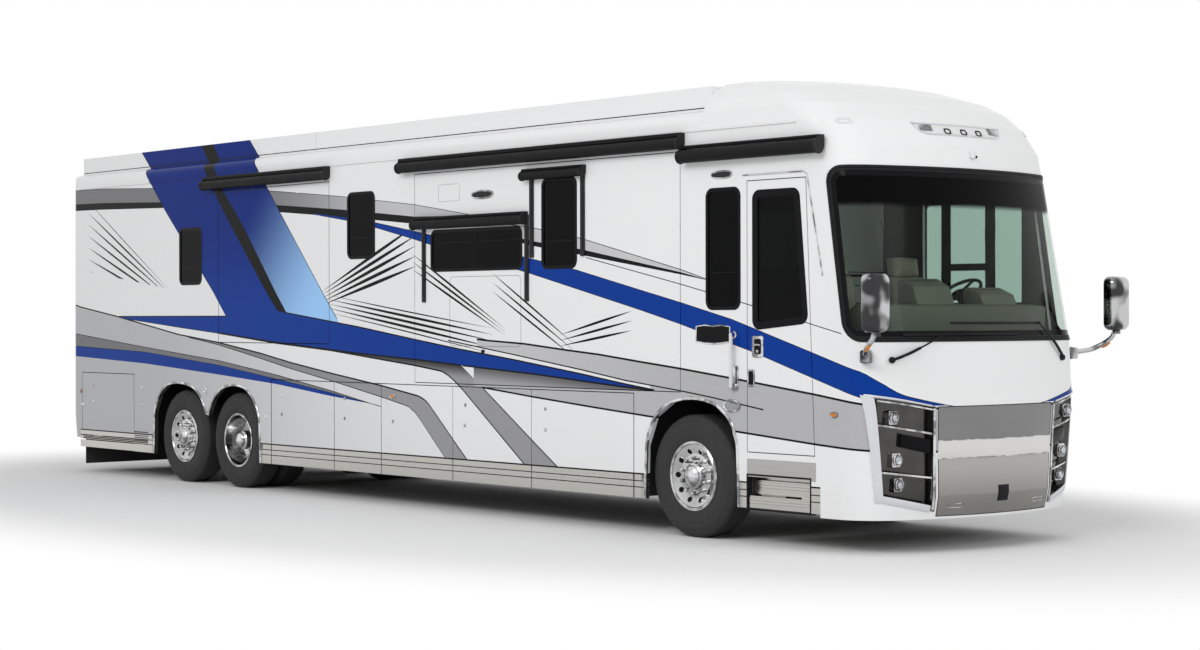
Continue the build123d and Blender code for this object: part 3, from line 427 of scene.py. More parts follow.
# great diagonal, its swoosh and its tail
diagonal = both(above("diagonal_rear"), below("panel_front"), above("swoosh_low"))
tail_top = 1.889
tail = both(lower_than(tail_top), above("swoosh_low"), ahead(-5.52), behind(-1.8))
swoosh = both(below("swoosh_top"), above("swoosh_low"), ahead(-1.95), behind(swoosh_end))
colour = net.mix(either(diagonal, tail, swoosh), colour, blue)
rear_part = both(diagonal, below("black_rear"))
colour = net.mix(rear_part, colour, net.mix(net.ramp(up, 1.9, 2.9), blue, deep_blue))
panel = both(diagonal, above("black_front"), above("swoosh_top"))
glow = net.ramp(net.math("ADD", along, net.math("MULTIPLY", up, -0.9)), -5.4, -2.9)
colour = net.mix(panel, colour, net.mix(glow, deep_blue, sky_blue))
black_band = both(diagonal, above("black_rear"), below("black_front"), above("swoosh_top"))
colour = net.mix(black_band, colour, black)
print("bands laid over white")

# %% [markdown]
# ## Pin lines and the line motif
# Between the bands a painter pulls thin black lines along the tape, which
# hide the joints of the colours. The bare white fields get a plain motif of
# tapering strokes: a fan of lines made from one stripe pattern whose spacing
# closes along the coach, cut off by straight limits.

# %% Pin lines
pin_rows = [
    ("silver_top", 0.016, -7.0, 2.0), ("sweep_low", 0.009, -3.95, 2.0),
    ("rear_grey_top", 0.008, -7.0, -0.1), ("rear_blue_top", 0.005, -7.0, -0.3),
    ("belt_top", 0.018, 1.5, 7.0), ("belt_dart", 0.012, 1.04, 5.4),
    ("wedge_low", 0.017, 1.585, 7.0), ("pin", 0.008, 3.13, 6.28),
    ("swoosh_low", 0.016, -5.52, 4.05), ("shade_low", 0.016, -3.3, 2.3),
    ("second_front", 0.014, 1.585, 2.8), ("dart_top", 0.007, 1.5, 4.8),
    ("upper_grey_top", 0.006, -7.0, 1.45),
    ("stripe_top", 0.006, -1.33, 6.9), ("stripe_low", 0.006, -1.33, 6.7),
]
lines = None
for name, width, start, end in pin_rows:
    line = both(taped_line(name, width), ahead(start), behind(end))
    lines = line if lines is None else either(lines, line)
swoosh_line = both(taped_line("swoosh_top", 0.014), ahead(-1.9), behind(swoosh_end))
panel_line = both(taped_line("panel_front", 0.013), above("swoosh_top"), behind(-0.9))
rear_line = both(taped_line("diagonal_rear", 0.010), net.math("GREATER_THAN", up, tail_top))
tail_line = both(net.math("LESS_THAN", net.math("ABSOLUTE", net.math("SUBTRACT", up, tail_top)), 0.006),
                 ahead(-5.6), behind(-3.12))
hidden = either(both(diagonal, net.math("GREATER_THAN", up, 1.95)), both(tail, behind(-3.3)))
lines = both(lines, outside(hidden))
second_only = both(taped_line("second_front", 0.014), behind(1.585))
lines = both(lines, outside(second_only))
lines = either(lines, swoosh_line, panel_line, rear_line, tail_line)
colour = net.mix(lines, colour, black)

# %% Fans of tapering strokes
fan_rows = [
    # first x, last x, middle z at first x, slope, spread at first, spread at last, strokes, thickness
    (-6.35, -4.20, 2.86, -0.40, 0.140, 0.030, 6, 0.13),
    (-6.30, -4.00, 2.22, -0.10, 0.070, 0.030, 3, 0.15),
    (-1.22, 0.50, 2.06, 0.30, 0.034, 0.100, 5, 0.26),
    (-1.10, 1.75, 2.02, -0.13, 0.045, 0.060, 4, 0.24),
    (0.45, 1.95, 2.42, -0.46, 0.075, 0.030, 3, 0.22),
    (1.75, 2.95, 2.20, -0.52, 0.085, 0.060, 3, 0.14),
    (2.75, 3.75, 1.66, 0.18, 0.050, 0.085, 3, 0.16),
]
for start, end, middle, slope, wide, narrow, strokes, weight in fan_rows:
    share = net.math("DIVIDE", net.math("SUBTRACT", along, start), end - start, clamp=True)
    axis = net.math("MULTIPLY_ADD", net.math("SUBTRACT", along, start), slope, middle)
    spacing = net.math("MULTIPLY_ADD", share, narrow - wide, wide)
    step = net.math("DIVIDE", net.math("SUBTRACT", up, axis), spacing)
    inside = net.math("LESS_THAN", net.math("ABSOLUTE", step), 0.5 * strokes)
    pulse = net.math("PINGPONG", step, 0.5)
    taper = net.math("MULTIPLY_ADD", net.math("SINE", net.math("MULTIPLY", share, math.pi)), weight,
                     0.01)
    stroke = both(net.math("LESS_THAN", pulse, taper), inside, ahead(start), behind(end))
    covered = either(diagonal, tail, swoosh, stripe, field, dart, dart_black, ribbon, upper_grey,
                     upper_black)
    covered = either(covered, below("swoosh_top"))
    stroke = both(stroke, outside(covered))
    colour = net.mix(stroke, colour, black)

silvery = both(either(field, belt, ribbon, upper_grey, second, wedge, dart),
               outside(either(lines, diagonal, tail, swoosh, stripe, rear_blue)))
net.feed(result.inputs["Color"], colour)
net.feed(result.inputs["Silver"], silvery)
print("livery group:", len(net.tree.nodes), "nodes")

# %% Body paint
def inner_face(net):
    """1 on faces that look towards the middle of the coach, and 0 outside."""
    normal = net.node("ShaderNodeNewGeometry").outputs["True Normal"]
    centred = net.node("ShaderNodeVectorMath", operation="SUBTRACT")
    net.feed(centred.inputs[0], net.place)
    centred.inputs[1].default_value = (0.0, 0.0, 1.9)
    facing = net.node("ShaderNodeVectorMath", operation="DOT_PRODUCT")
    net.feed(facing.inputs[0], centred.outputs[0])
    net.feed(facing.inputs[1], normal)
    below_roof = net.math("LESS_THAN", net.axes(net.place)["Z"], 3.44)
    return net.math("MULTIPLY", below_roof, net.math("LESS_THAN", facing.outputs["Value"], 0.0))


# faces inside the body are painted near black: painted shade of the unlit interior
painted_interior_shade = rgb(0.055, 0.052, 0.046)
# the ribbed stainless strip along the foot of the body and below the entry door
net, given, result = new_group("steel_strip", [("Place", VECTOR, None)],
                               [("Mask", NUMBER), ("Metal", NUMBER), ("Color", COLOUR)])
along, across, up = net.axes(given.outputs["Place"])


def between(value, low, high):
    return net.math("MULTIPLY", net.math("GREATER_THAN", value, low), net.math("LESS_THAN", value, high))


on_wall = net.math("GREATER_THAN", net.math("ABSOLUTE", across), 1.2)
foot = both(on_wall, between(up, 0.0, 0.518), between(along, -6.578, 6.048))
below_door = both(on_wall, between(up, 0.555, 0.708), between(along, 5.205, 6.0))
lines = either(between(up, 0.505, 0.518), between(up, 0.445, 0.453), between(up, 0.390, 0.398))
lines = both(lines, foot)
grain = net.group("brushed_grain", Place=given.outputs["Place"], Stretch=(1.5, 40.0, 500.0))
steel = net.mix(grain.outputs["Grain"], rgb(0.36, 0.355, 0.34), rgb(0.52, 0.515, 0.50))
# the top of the strip is painted near black above a wavy line: painted dark reflection
wave = net.math("MULTIPLY_ADD", net.noise(given.outputs["Place"], 1.1, 2.0), 0.08, 0.415)
painted_dark_reflection = both(net.ramp(net.math("SUBTRACT", up, wave), -0.012, 0.03),
                net.math("LESS_THAN", along, 5.1))
steel = net.mix(net.math("MULTIPLY", painted_dark_reflection, 0.75), steel, rgb(0.075, 0.072, 0.068))
net.feed(result.inputs["Mask"], either(foot, below_door))
net.feed(result.inputs["Metal"], net.math("MULTIPLY_ADD", lines, -0.9, 0.92))
net.feed(result.inputs["Color"], net.mix(lines, steel, rgb(0.012, 0.012, 0.012)))
paint = new_material("coach_paint", Roughness=0.22, Coat_Weight=0.05, Coat_Roughness=0.03,
                     Specular_IOR_Level=0.05)
sprayed = paint.group("livery", Place=paint.place)
dust = paint.group("road_dust", Place=paint.place, Top=0.8)
flake = paint.node("ShaderNodeTexVoronoi")
flake.inputs["Scale"].default_value = 900.0
paint.feed(flake.inputs["Vector"], paint.place)
sparkle = paint.math("MULTIPLY", paint.ramp(flake.outputs["Distance"], 0.0, 0.5), 0.10)
flaked = paint.mix(paint.math("MULTIPLY", sprayed.outputs["Silver"], sparkle),
                   sprayed.outputs["Color"], rgb(0.9, 0.9, 0.92))
dusty = paint.mix(paint.math("MULTIPLY", dust.outputs["Mask"], 0.06), flaked, rgb(0.45, 0.42, 0.38))
inside = inner_face(paint)
# inner faces take the painted interior shade
painted = paint.mix(inside, dusty, painted_interior_shade)
strip = paint.group("steel_strip", Place=paint.place)
on_strip = paint.math("MULTIPLY", strip.outputs["Mask"], paint.math("SUBTRACT", 1.0, inside))
paint.shade("Base Color", paint.mix(on_strip, painted, strip.outputs["Color"]))
paint.shade("Metallic", paint.math("MULTIPLY", on_strip, strip.outputs["Metal"]))
glossy = paint.math("MULTIPLY_ADD", dust.outputs["Mask"], 0.2, 0.2)
paint.shade("Roughness", paint.math("MULTIPLY_ADD", on_strip, 0.06, glossy))
peel = paint.group("orange_peel", Place=paint.place, Scale=240.0)
bump(paint, peel.outputs["Height"], 0.0004, 0.25)
paint_nodes(paint, "side_wall_left", "side_wall_right", "slide_room_left",
            "slide_room_right_front", "slide_room_right_rear", "front_cap", "rear_cap",
            "engine_door", "entry_door", "rear_service_door_left", "rear_service_door_right",
            "roof_panel", "roof_awnings",
            *[f"baggage_door_right_{n}" for n in range(1, 6)],
            *[f"baggage_door_left_{n}" for n in range(1, 4)])
print("painted the body panels")

# %% [markdown]
# ## Metals, glass, rubber and plastics
# The rest of the coach has plain single-material finishes, and each still
# varies over its surface: polished metal carries painted reflection streaks,
# rubber has a dusty bloom, glass is slightly uneven.

# %% Champagne silver of the front panel
champagne = new_material("champagne_silver", Metallic=0.6, Roughness=0.3, Coat_Weight=0.15,
                         Coat_Roughness=0.06)
cloud = champagne.noise(champagne.place, 2.0, 3.0)
height = champagne.axes(champagne.place)["Z"]
# the lower part of the panel is painted darker towards the bottom: painted shade
lower = champagne.mix(champagne.ramp(height, 0.32, 0.74), rgb(0.20, 0.19, 0.175),
                      rgb(0.40, 0.385, 0.365))
upper = rgb(0.185, 0.182, 0.186)
two_tone_with_painted_shade = champagne.mix(champagne.math("GREATER_THAN", height, 0.895), lower, upper)
champagne.shade("Base Color", champagne.mix(champagne.math("MULTIPLY", cloud, 0.12), two_tone_with_painted_shade,
                                            rgb(0.55, 0.54, 0.52)))
flake = champagne.node("ShaderNodeTexVoronoi")
flake.inputs["Scale"].default_value = 1100.0
champagne.feed(flake.inputs["Vector"], champagne.place)
champagne.shade("Roughness", champagne.ramp(flake.outputs["Distance"], 0.0, 0.7, 0.22, 0.38))
paint_nodes(champagne, "front_hood")

# %% Chrome and stainless steel
chrome = new_material("chrome", Metallic=1.0, Roughness=0.06)
# the chrome's colour swings between dark and bright in broad streaks: painted reflection
painted_reflection_haze = chrome.noise(chrome.place, 9.0, 2.0, 0.55)
chrome.shade("Base Color", chrome.mix(chrome.ramp(painted_reflection_haze, 0.38, 0.62), rgb(0.22, 0.22, 0.225),
                                      rgb(0.70, 0.70, 0.71)))
chrome.shade("Roughness", chrome.ramp(painted_reflection_haze, 0.3, 0.8, 0.05, 0.12))
paint_nodes(chrome, "bright_trims", "mirrors")

stainless = new_material("rolled_stainless", Metallic=1.0, Roughness=0.25)
grain = stainless.group("brushed_grain", Place=stainless.place, Stretch=(1.5, 40.0, 500.0))
stainless.shade("Base Color", stainless.mix(grain.outputs["Grain"], rgb(0.46, 0.44, 0.41),
                                            rgb(0.62, 0.60, 0.57)))
stainless.shade("Roughness", stainless.ramp(grain.outputs["Grain"], 0.2, 0.8, 0.16, 0.34))
paint_nodes(stainless, "entry_steps")

# %% Polished wheels
alloy = new_material("polished_aluminium", Metallic=1.0, Roughness=0.12)
grain = alloy.group("brushed_grain", Place=alloy.place, Stretch=(30.0, 3.0, 30.0))
# broad light and dark clouds in the wheels' colour are painted reflection; the fine grain is the metal's
# own
cloud = alloy.ramp(alloy.noise(alloy.place, 3.0, 1.0), 0.32, 0.68)
polished = alloy.mix(cloud, rgb(0.36, 0.36, 0.362), rgb(0.60, 0.60, 0.602))
alloy.shade("Base Color", alloy.mix(alloy.math("MULTIPLY", grain.outputs["Grain"], 0.25), polished,
                                    rgb(0.80, 0.80, 0.80)))
alloy.shade("Roughness", alloy.ramp(grain.outputs["Grain"], 0.2, 0.8, 0.08, 0.2))
paint_nodes(alloy, *[n for n in nodes if n.startswith("rim_")])

# %% Tyre rubber
rubber = new_material("tyre_rubber", Roughness=0.75, Specular_IOR_Level=0.35)
bloom = rubber.noise(rubber.place, 14.0, 4.0, 0.6)
rubber.shade("Base Color", rubber.mix(bloom, rgb(0.016, 0.016, 0.017), rgb(0.040, 0.039, 0.038)))
rubber.shade("Roughness", rubber.ramp(bloom, 0.3, 0.7, 0.62, 0.85))
bump(rubber, rubber.noise(rubber.place, 300.0, 2.0), 0.0005, 0.4)
paint_nodes(rubber, "mud_flap", *[n for n in nodes if n.startswith("tyre_")])

# %% Glass
def glass(name, socket_maker):
    """A pane that lets light through, with its colour made by a function of its net."""
    net = new_material(name, Roughness=0.0, Transmission_Weight=1.0, IOR=1.15)
    net.shade("Base Color", socket_maker(net))
    ripple = net.noise(net.place, 1.3, 1.0)
    net.shade("Roughness", net.ramp(ripple, 0.3, 0.7, 0.0, 0.02))
    return net


def side_tint_and_painted_shade(net):
    axes = net.axes(net.place)
    cab_side = net.math("MULTIPLY", net.math("GREATER_THAN", axes["X"], 4.85),
                        net.math("GREATER_THAN", axes["Y"], 0.0))
    # panes away from the cab are near black: partly their dark tint, partly painted shade of the unlit
    # rooms behind them
    return net.mix(cab_side, rgb(0.006, 0.007, 0.007), rgb(0.35, 0.48, 0.42))


def door_tint(net):
    return net.mix(net.noise(net.place, 2.0), rgb(0.16, 0.19, 0.18), rgb(0.21, 0.245, 0.23))


def screen_tint(net):
    shade_band = net.ramp(net.axes(net.place)["Z"], 2.73, 2.785)
    return net.mix(shade_band, rgb(0.72, 0.79, 0.75), rgb(0.002, 0.002, 0.003))


tinted = glass("tinted_glass", side_tint_and_painted_shade)
paint_nodes(tinted, "side_glass", "slide_glass_left", "slide_glass_right")
door_pane = glass("door_glass", door_tint)
paint_nodes(door_pane, "entry_door_glass")
screen = glass("windscreen_glass", screen_tint)
paint_nodes(screen, "windshield")

# %% Black trim, awning cloth, plastics, leather and grey underparts
def plain_finish(name, low, high, rough, scale, height, metallic=0.0, *targets):
    net = new_material(name, Roughness=rough, Metallic=metallic, Specular_IOR_Level=0.08)
    cloud = net.noise(net.place, scale, 3.0)
    net.shade("Base Color", net.mix(cloud, low, high))
    net.shade("Roughness", net.ramp(cloud, 0.2, 0.8, rough * 0.8, rough * 1.15))
    bump(net, net.noise(net.place, scale * 25.0, 2.0), height, 0.5)
    paint_nodes(net, *targets)
    return net


trim_black = plain_finish("satin_black", rgb(0.008, 0.008, 0.009), rgb(0.02, 0.02, 0.021), 0.38,
                          6.0, 0.0004, 0.0, "wipers", "steering_wheel")
cloth = plain_finish("awning_cloth", rgb(0.006, 0.006, 0.006), rgb(0.014, 0.014, 0.015), 0.5, 9.0,
                     0.0008, 0.0, "slide_toppers", "window_awnings")
cab_plastic = plain_finish("cab_plastic", rgb(0.13, 0.135, 0.11), rgb(0.17, 0.172, 0.145), 0.55,
                           8.0, 0.0006, 0.0, "dashboard")
leather = plain_finish("seat_leather", rgb(0.30, 0.285, 0.23), rgb(0.38, 0.36, 0.29), 0.5, 7.0,
                       0.0012, 0.0, "cab_seats")
plain_finish("chassis_black", rgb(0.010, 0.010, 0.011), rgb(0.026, 0.025, 0.024), 0.6,
             5.0, 0.001, 0.3, "frame_rails", "cross_members", "axles", "knuckle_left",
             "knuckle_right", "engine_block")
plain_finish("floor_grey", rgb(0.035, 0.035, 0.036), rgb(0.06, 0.06, 0.06), 0.6, 4.0,
             0.001, 0.0, "basement", "cabin_floor", "rear_room_base")
plain_finish("unit_white", rgb(0.72, 0.72, 0.71), rgb(0.80, 0.80, 0.79), 0.35, 3.0,
             0.0006, 0.0, "rooftop_units")

# %% Lamp lenses and the smoked chrome of the lamp trays
lamp = new_material("lamp_lens", Roughness=0.03, Transmission_Weight=0.35, IOR=1.5)
axes = lamp.axes(lamp.place)
amber = lamp.math("GREATER_THAN", axes["X"], -6.45)
red = rgb(0.55, 0.012, 0.010)
shade = lamp.mix(lamp.noise(lamp.place, 40.0), rgb(0.75, 0.20, 0.008), rgb(0.88, 0.30, 0.015))
lamp.shade("Base Color", lamp.mix(amber, red, shade))
clear_lens = new_material("clear_lens", Roughness=0.0, Transmission_Weight=0.9, IOR=1.45)
clear_lens.shade("Base Color", clear_lens.mix(clear_lens.noise(clear_lens.place, 30.0),
                                              rgb(0.86, 0.88, 0.90),
                                              rgb(0.95, 0.96, 0.97)))
paint_nodes(clear_lens, "lamps")
# the trays' dark colour is partly their smoked finish and partly painted dark reflection, and its noise
# streaks are painted reflection
smoked = new_material("smoked_chrome", Metallic=0.9, Roughness=0.12)
painted_reflection_haze = smoked.noise(smoked.place, 7.0, 3.0)
smoked.shade("Base Color", smoked.mix(painted_reflection_haze, rgb(0.045, 0.043, 0.042), rgb(0.11, 0.105, 0.10)))
smoked.shade("Roughness", smoked.ramp(painted_reflection_haze, 0.3, 0.8, 0.09, 0.2))
print("finishes on", sum(1 for node in nodes.values() if node.data.materials), "panels and parts")

# %% [markdown]
# ## Making pieces from loops
# Most fittings on a coach are extrusions, pressings, turned parts or bent
# pipe. Each kind gets one small helper that returns corner points and faces:
# a plate or ring from a closed outline, a turned part from a profile, a pipe
# along a path, a pad from four corners. Several such shapes can be joined in
# one mesh, which then rides on the body that carries the real part.

# %% Outlines and shapes
def rounded(points, radius, steps=5):
    """A closed outline with its corners rounded."""
    made = []
    count = len(points)
    for number in range(count):
        here = Vector(points[number])
        before = (Vector(points[number - 1]) - here).normalized()
        after = (Vector(points[(number + 1) % count]) - here).normalized()
        half = max(before.angle(after) / 2, 0.05)
        reach = radius / math.tan(half)
        centre = here + (before + after).normalized() * radius / math.sin(half)
        first, last = here + before * reach, here + after * reach
        for step in range(steps + 1):
            point = first.lerp(last, step / steps) - centre
            made.append(tuple(centre + point.normalized() * radius))
    return made


def box_outline(x0, x1, z0, z1):
    return [(x0, z0), (x1, z0), (x1, z1), (x0, z1)]


def divided(loop, step):
    """The same closed outline with long edges cut into short ones."""
    made = []
    for start, end in zip(loop, loop[1:] + loop[:1]):
        parts = max(1, round((Vector(end) - Vector(start)).length / step))
        for number in range(parts):
            made.append(tuple(Vector(start).lerp(Vector(end), number / parts)))
    return made


def grown(loop, amount):
    """A closed outline, drawn anticlockwise, moved outwards by an amount."""
    made = []
    count = len(loop)
    for number in range(count):
        before, here, after = (Vector(loop[(number + shift) % count]) for shift in (-1, 0, 1))
        along = ((here - before).normalized() + (after - here).normalized()).normalized()
        made.append(tuple(here + Vector((along.y, -along.x)) * amount))
    return made


def walls(rows, count, closed=False):
    """Faces between neighbouring rows of points, each row a closed outline."""
    faces = []
    for row in range(rows if closed else rows - 1):
        here, there = row * count, (row + 1) % rows * count
        for number in range(count):
            after = (number + 1) % count
            faces.append((here + number, here + after, there + after, there + number))
    return faces


def caps(rows, count):
    """The flat faces that close the first and the last of such rows."""
    last = (rows - 1) * count
    return [tuple(range(count - 1, -1, -1)), tuple(range(last, last + count))]


def circle(side, up, radius, steps):
    angles = [2 * math.pi * step / steps for step in range(steps)]
    return [(side * math.cos(angle) + up * math.sin(angle)) * radius for angle in angles]


def shell_faces(wide, tall):
    """Both sides and the rim of a thin shell over a grid of points."""
    layer = wide * tall
    faces = []
    for row in range(tall - 1):
        for column in range(wide - 1):
            a = row * wide + column
            quad = (a, a + 1, a + 1 + wide, a + wide)
            faces += [tuple(layer + n for n in quad), quad[::-1]]
    rim = (list(range(wide)) + [row * wide + wide - 1 for row in range(1, tall)]
           + [(tall - 1) * wide + column for column in range(wide - 2, -1, -1)]
           + [row * wide for row in range(tall - 2, 0, -1)])
    return faces + [(a, b, layer + b, layer + a) for a, b in zip(rim, rim[1:] + rim[:1])]


def ring(outer, inner, place, low, high, ease=0.0015):
    """A band between two outlines of equal length, with its outer edges eased."""
    rows = [(outer, low), (outer, high - ease), (grown(outer, -ease), high),
            (grown(inner, ease), high), (inner, high - ease), (inner, low)]
    points = [place(u, v, lift) for loop, lift in rows for u, v in loop]
    return points, walls(len(rows), len(outer), closed=True)


def plate(outline, place, low, high, ease=0.002):
    """A flat plate over an outline, with its outer edge eased."""
    rows = [(outline, low), (outline, high - ease), (grown(outline, -ease), high)]
    points = [place(u, v, lift) for loop, lift in rows for u, v in loop]
    return points, caps(3, len(outline)) + walls(3, len(outline))


# a turned part whose end is thinner than this is left to close in a point
point_radius = 0.0005


def turned(profile, centre, axis, steps=24, ends=True):
    """A part turned about an axis. The profile is (radius, distance along the axis)."""
    axis = Vector(axis).normalized()
    side = axis.orthogonal().normalized()
    up = axis.cross(side)
    points = [Vector(centre) + axis * distance + spoke for radius, distance in profile
              for spoke in circle(side, up, radius, steps)]
    faces = walls(len(profile), steps)
    for row, cap in zip((0, -1), caps(len(profile), steps)):
        if ends and profile[row][0] > point_radius:
            faces.append(cap)
    return points, faces


def pipe(path, radius, steps=12):
    """A round bar along a path, with closed ends."""
    points = []
    path = [Vector(p) for p in path]
    side = (path[1] - path[0]).orthogonal().normalized()
    for number, here in enumerate(path):
        before, after = path[max(number - 1, 0)], path[min(number + 1, len(path) - 1)]
        along = (after - before).normalized()
        side = (side - along * side.dot(along)).normalized()
        points += [here + spoke for spoke in circle(side, along.cross(side), radius, steps)]
    return points, walls(len(path), steps) + caps(len(path), steps)


def pad(corners, place, low, high, across=12, upwards=4, ease=0.003):
    """A thin pad between four corners, laid on a curved skin."""
    corners = [Vector(c) for c in corners]
    points = []
    for lift in (low, high):
        for row in range(upwards + 1):
            for column in range(across + 1):
                s, t = column / across, row / upwards
                base = corners[0].lerp(corners[1], s).lerp(corners[3].lerp(corners[2], s), t)
                edge = row in (0, upwards) or column in (0, across)
                points.append(place(base.x, base.y, lift - (ease if edge and lift == high else 0)))
    return points, shell_faces(across + 1, upwards + 1)


def loft(rows):
    """A closed skin through closed outlines of equal length, with flat ends."""
    size = len(rows), len(rows[0])
    return [point for row in rows for point in row], walls(*size) + caps(*size)


def outward_mesh(name, points, faces):
    mesh = bpy.data.meshes.new(name)
    mesh.from_pydata([tuple(p) for p in points], [], faces)
    mesh.validate()
    work = bmesh.new()
    work.from_mesh(mesh)
    bmesh.ops.recalc_face_normals(work, faces=work.faces)
    work.to_mesh(mesh)
    work.free()
    return mesh


def piece(name, shapes, finish, body, sharp=35.0):
    """One mesh object from several shapes, riding on a body."""
    points, faces = [], []
    for shape_points, shape_faces in shapes:
        start = len(points)
        points += shape_points
        faces += [tuple(start + n for n in face) for face in shape_faces]
    mesh = outward_mesh(name, points, faces)
    for face in mesh.polygons:
        face.use_smooth = True
    mesh.set_sharp_from_angle(angle=math.radians(sharp))
    mesh.materials.append(finish.material)
    made = bpy.data.objects.new(name, mesh)
    bpy.context.scene.collection.objects.link(made)
    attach(made, body)
    return made


half_body = 1.2825
sides = ((1, "left"), (-1, "right"))


def on_side(side):
    """Places (distance along, height, lift) on a side wall: -1 is the entry side."""
    def place(x, z, lift):
        return Vector((x, side * (half_body + lift), z))
    return place


right, left = on_side(-1), on_side(1)
print("shape helpers ready")

# %% [markdown]
# ## Finding the skin of the front cap
# The cap is one moulding: a bowed front, round corners and straight sides,
# leaning back as it rises. Trim that lies on it has to follow that skin, so
# the same plan rows that shape the cap are kept here, and a point is found
# from its distance around the nose and its height, with a lift off the skin.

# %% The cap's skin
nose_rows = [
    # height, front of the bow, start of the corner, corner radius
    (0.273, 6.800, 6.215, 0.400), (0.460, 6.845, 6.245, 0.400), (1.160, 6.830, 6.322, 0.400),
    (1.270, 6.815, 6.322, 0.400), (1.660, 6.790, 6.300, 0.400), (2.988, 6.558, 6.052, 0.350),
    (3.250, 6.500, 5.960, 0.400), (3.460, 6.370, 5.800, 0.400),
]


def nose_row(z):
    for low, high in zip(nose_rows, nose_rows[1:]):
        if z <= high[0] or high is nose_rows[-1]:
            share = (z - low[0]) / (high[0] - low[0])
            return [a + (b - a) * share for a, b in zip(low, high)][1:]


def nose_plan(u, z):
    """The plan point and outward direction at a distance u around the nose."""
    front, corner, radius = nose_row(z)
    centre_y = half_body - radius
    reach = front - radius
    bow_x = (reach ** 2 - corner ** 2 - centre_y ** 2) / (2 * (reach - corner))
    bow_r = front - bow_x
    bow_turn = math.atan2(centre_y, corner - bow_x)
    bow_length = bow_r * bow_turn
    corner_length = radius * (math.pi / 2 - bow_turn)
    distance, sign = abs(u), (1 if u >= 0 else -1)
    if distance <= bow_length:
        angle = distance / bow_r
        x, y = bow_x + bow_r * math.cos(angle), bow_r * math.sin(angle)
    elif distance <= bow_length + corner_length:
        angle = bow_turn + (distance - bow_length) / radius
        x, y = corner + radius * math.cos(angle), centre_y + radius * math.sin(angle)
    else:
        angle = math.pi / 2
        x, y = corner - (distance - bow_length - corner_length), half_body
    return x, sign * y, math.cos(angle), sign * math.sin(angle)


def around_nose(u, z, lift):
    """A point on the cap's skin, moved out by the lift."""
    x, y, out_x, out_y = nose_plan(u, z)
    return Vector((x + out_x * lift, y + out_y * lift, z))


def reach_of(y, z):
    """How far around the nose the skin is at a distance y from the middle."""
    low, high = 0.0, 2.2
    for _ in range(30):
        middle = (low + high) / 2
        if abs(nose_plan(middle, z)[1]) < abs(y):
            low = middle
        else:
            high = middle
    return math.copysign(low, y)


def on_nose(y, z, lift):
    """A point on the cap's front, given by its distance from the middle and height."""
    return around_nose(reach_of(y, z), z, lift)


def side_reach(x, z):
    """How far around the nose the skin is at a station x near its corner."""
    low, high = 0.6, 3.0
    for _ in range(30):
        middle = (low + high) / 2
        if nose_plan(middle, z)[0] > x:
            low = middle
        else:
            high = middle
    return low


print("skin at the middle of the hood:", [round(v, 3) for v in on_nose(0.0, 0.8, 0.0)])

# %% [markdown]
# ## Seals of the windscreen and windows
# The windscreen is bonded behind a thick rubber seal with large round
# corners, and the glass has a black printed border inside it. The other
# windows are flush panes with a narrow black frame. Rings between two
# outlines give both: the seal is round and proud, the border lies flat.

# %% Windscreen seal
screen_low, screen_high = 1.690, 3.060
screen_corners = [(-side_reach(6.322, screen_low), screen_low),
                  (side_reach(6.322, screen_low), screen_low),
                  (side_reach(6.108, screen_high), screen_high),
                  (-side_reach(6.108, screen_high), screen_high)]
screen_radius = 0.14
seal_line = divided(rounded(screen_corners, screen_radius, 8), 0.05)
seal_rubber = plain_finish("seal_rubber", rgb(0.010, 0.010, 0.011), rgb(0.022, 0.022, 0.023), 0.42,
                           11.0, 0.0003, 0.0)
gloss_black = plain_finish("gloss_black", rgb(0.003, 0.003, 0.004), rgb(0.006, 0.006, 0.007), 0.12,
                           4.0, 0.0001, 0.0)
piece("windscreen_seal", [
    ring(grown(seal_line, 0.016), grown(seal_line, -0.006), around_nose, -0.004, 0.009, 0.004),
    ring(grown(seal_line, -0.007), grown(seal_line, -0.028), around_nose, -0.002, 0.006, 0.003),
], seal_rubber, "coach")
piece("windscreen_border", [
    ring(grown(seal_line, -0.027), grown(seal_line, -0.070), around_nose, -0.001, 0.0015, 0.0005),
], gloss_black, "coach")
seal_length = sum((Vector(a) - Vector(b)).length for a, b in zip(seal_line, seal_line[1:]))
print("seal length", round(seal_length, 2))

# %% Frames of the side windows
pane_rows = [
    # body, side, x0, x1, z0, z1, corner radius, border
    ("coach", -1, -4.139, -3.656, 2.254, 2.881, 0.065, 0.020),
    ("coach", -1, -0.696, -0.214, 2.479, 3.138, 0.065, 0.020),
    ("coach", -1, 4.720, 5.121, 1.942, 2.940, 0.065, 0.020),
    ("slide_room_right_front", -1, 0.765, 2.195, 2.325, 2.710, 0.065, 0.020),
    ("slide_room_right_front", -1, 2.502, 2.992, 2.323, 3.131, 0.065, 0.020),
    ("coach", 1, -5.600, -4.300, 2.254, 2.881, 0.065, 0.020),
    ("slide_room_left", 1, -2.600, -1.700, 2.323, 3.000, 0.065, 0.020),
    ("slide_room_left", 1, 0.300, 1.700, 2.325, 2.900, 0.065, 0.020),
    ("slide_room_left", 1, 2.600, 3.700, 2.325, 2.900, 0.065, 0.020),
]
framed = {}
wide_pane, bar_half = 0.8, 0.006
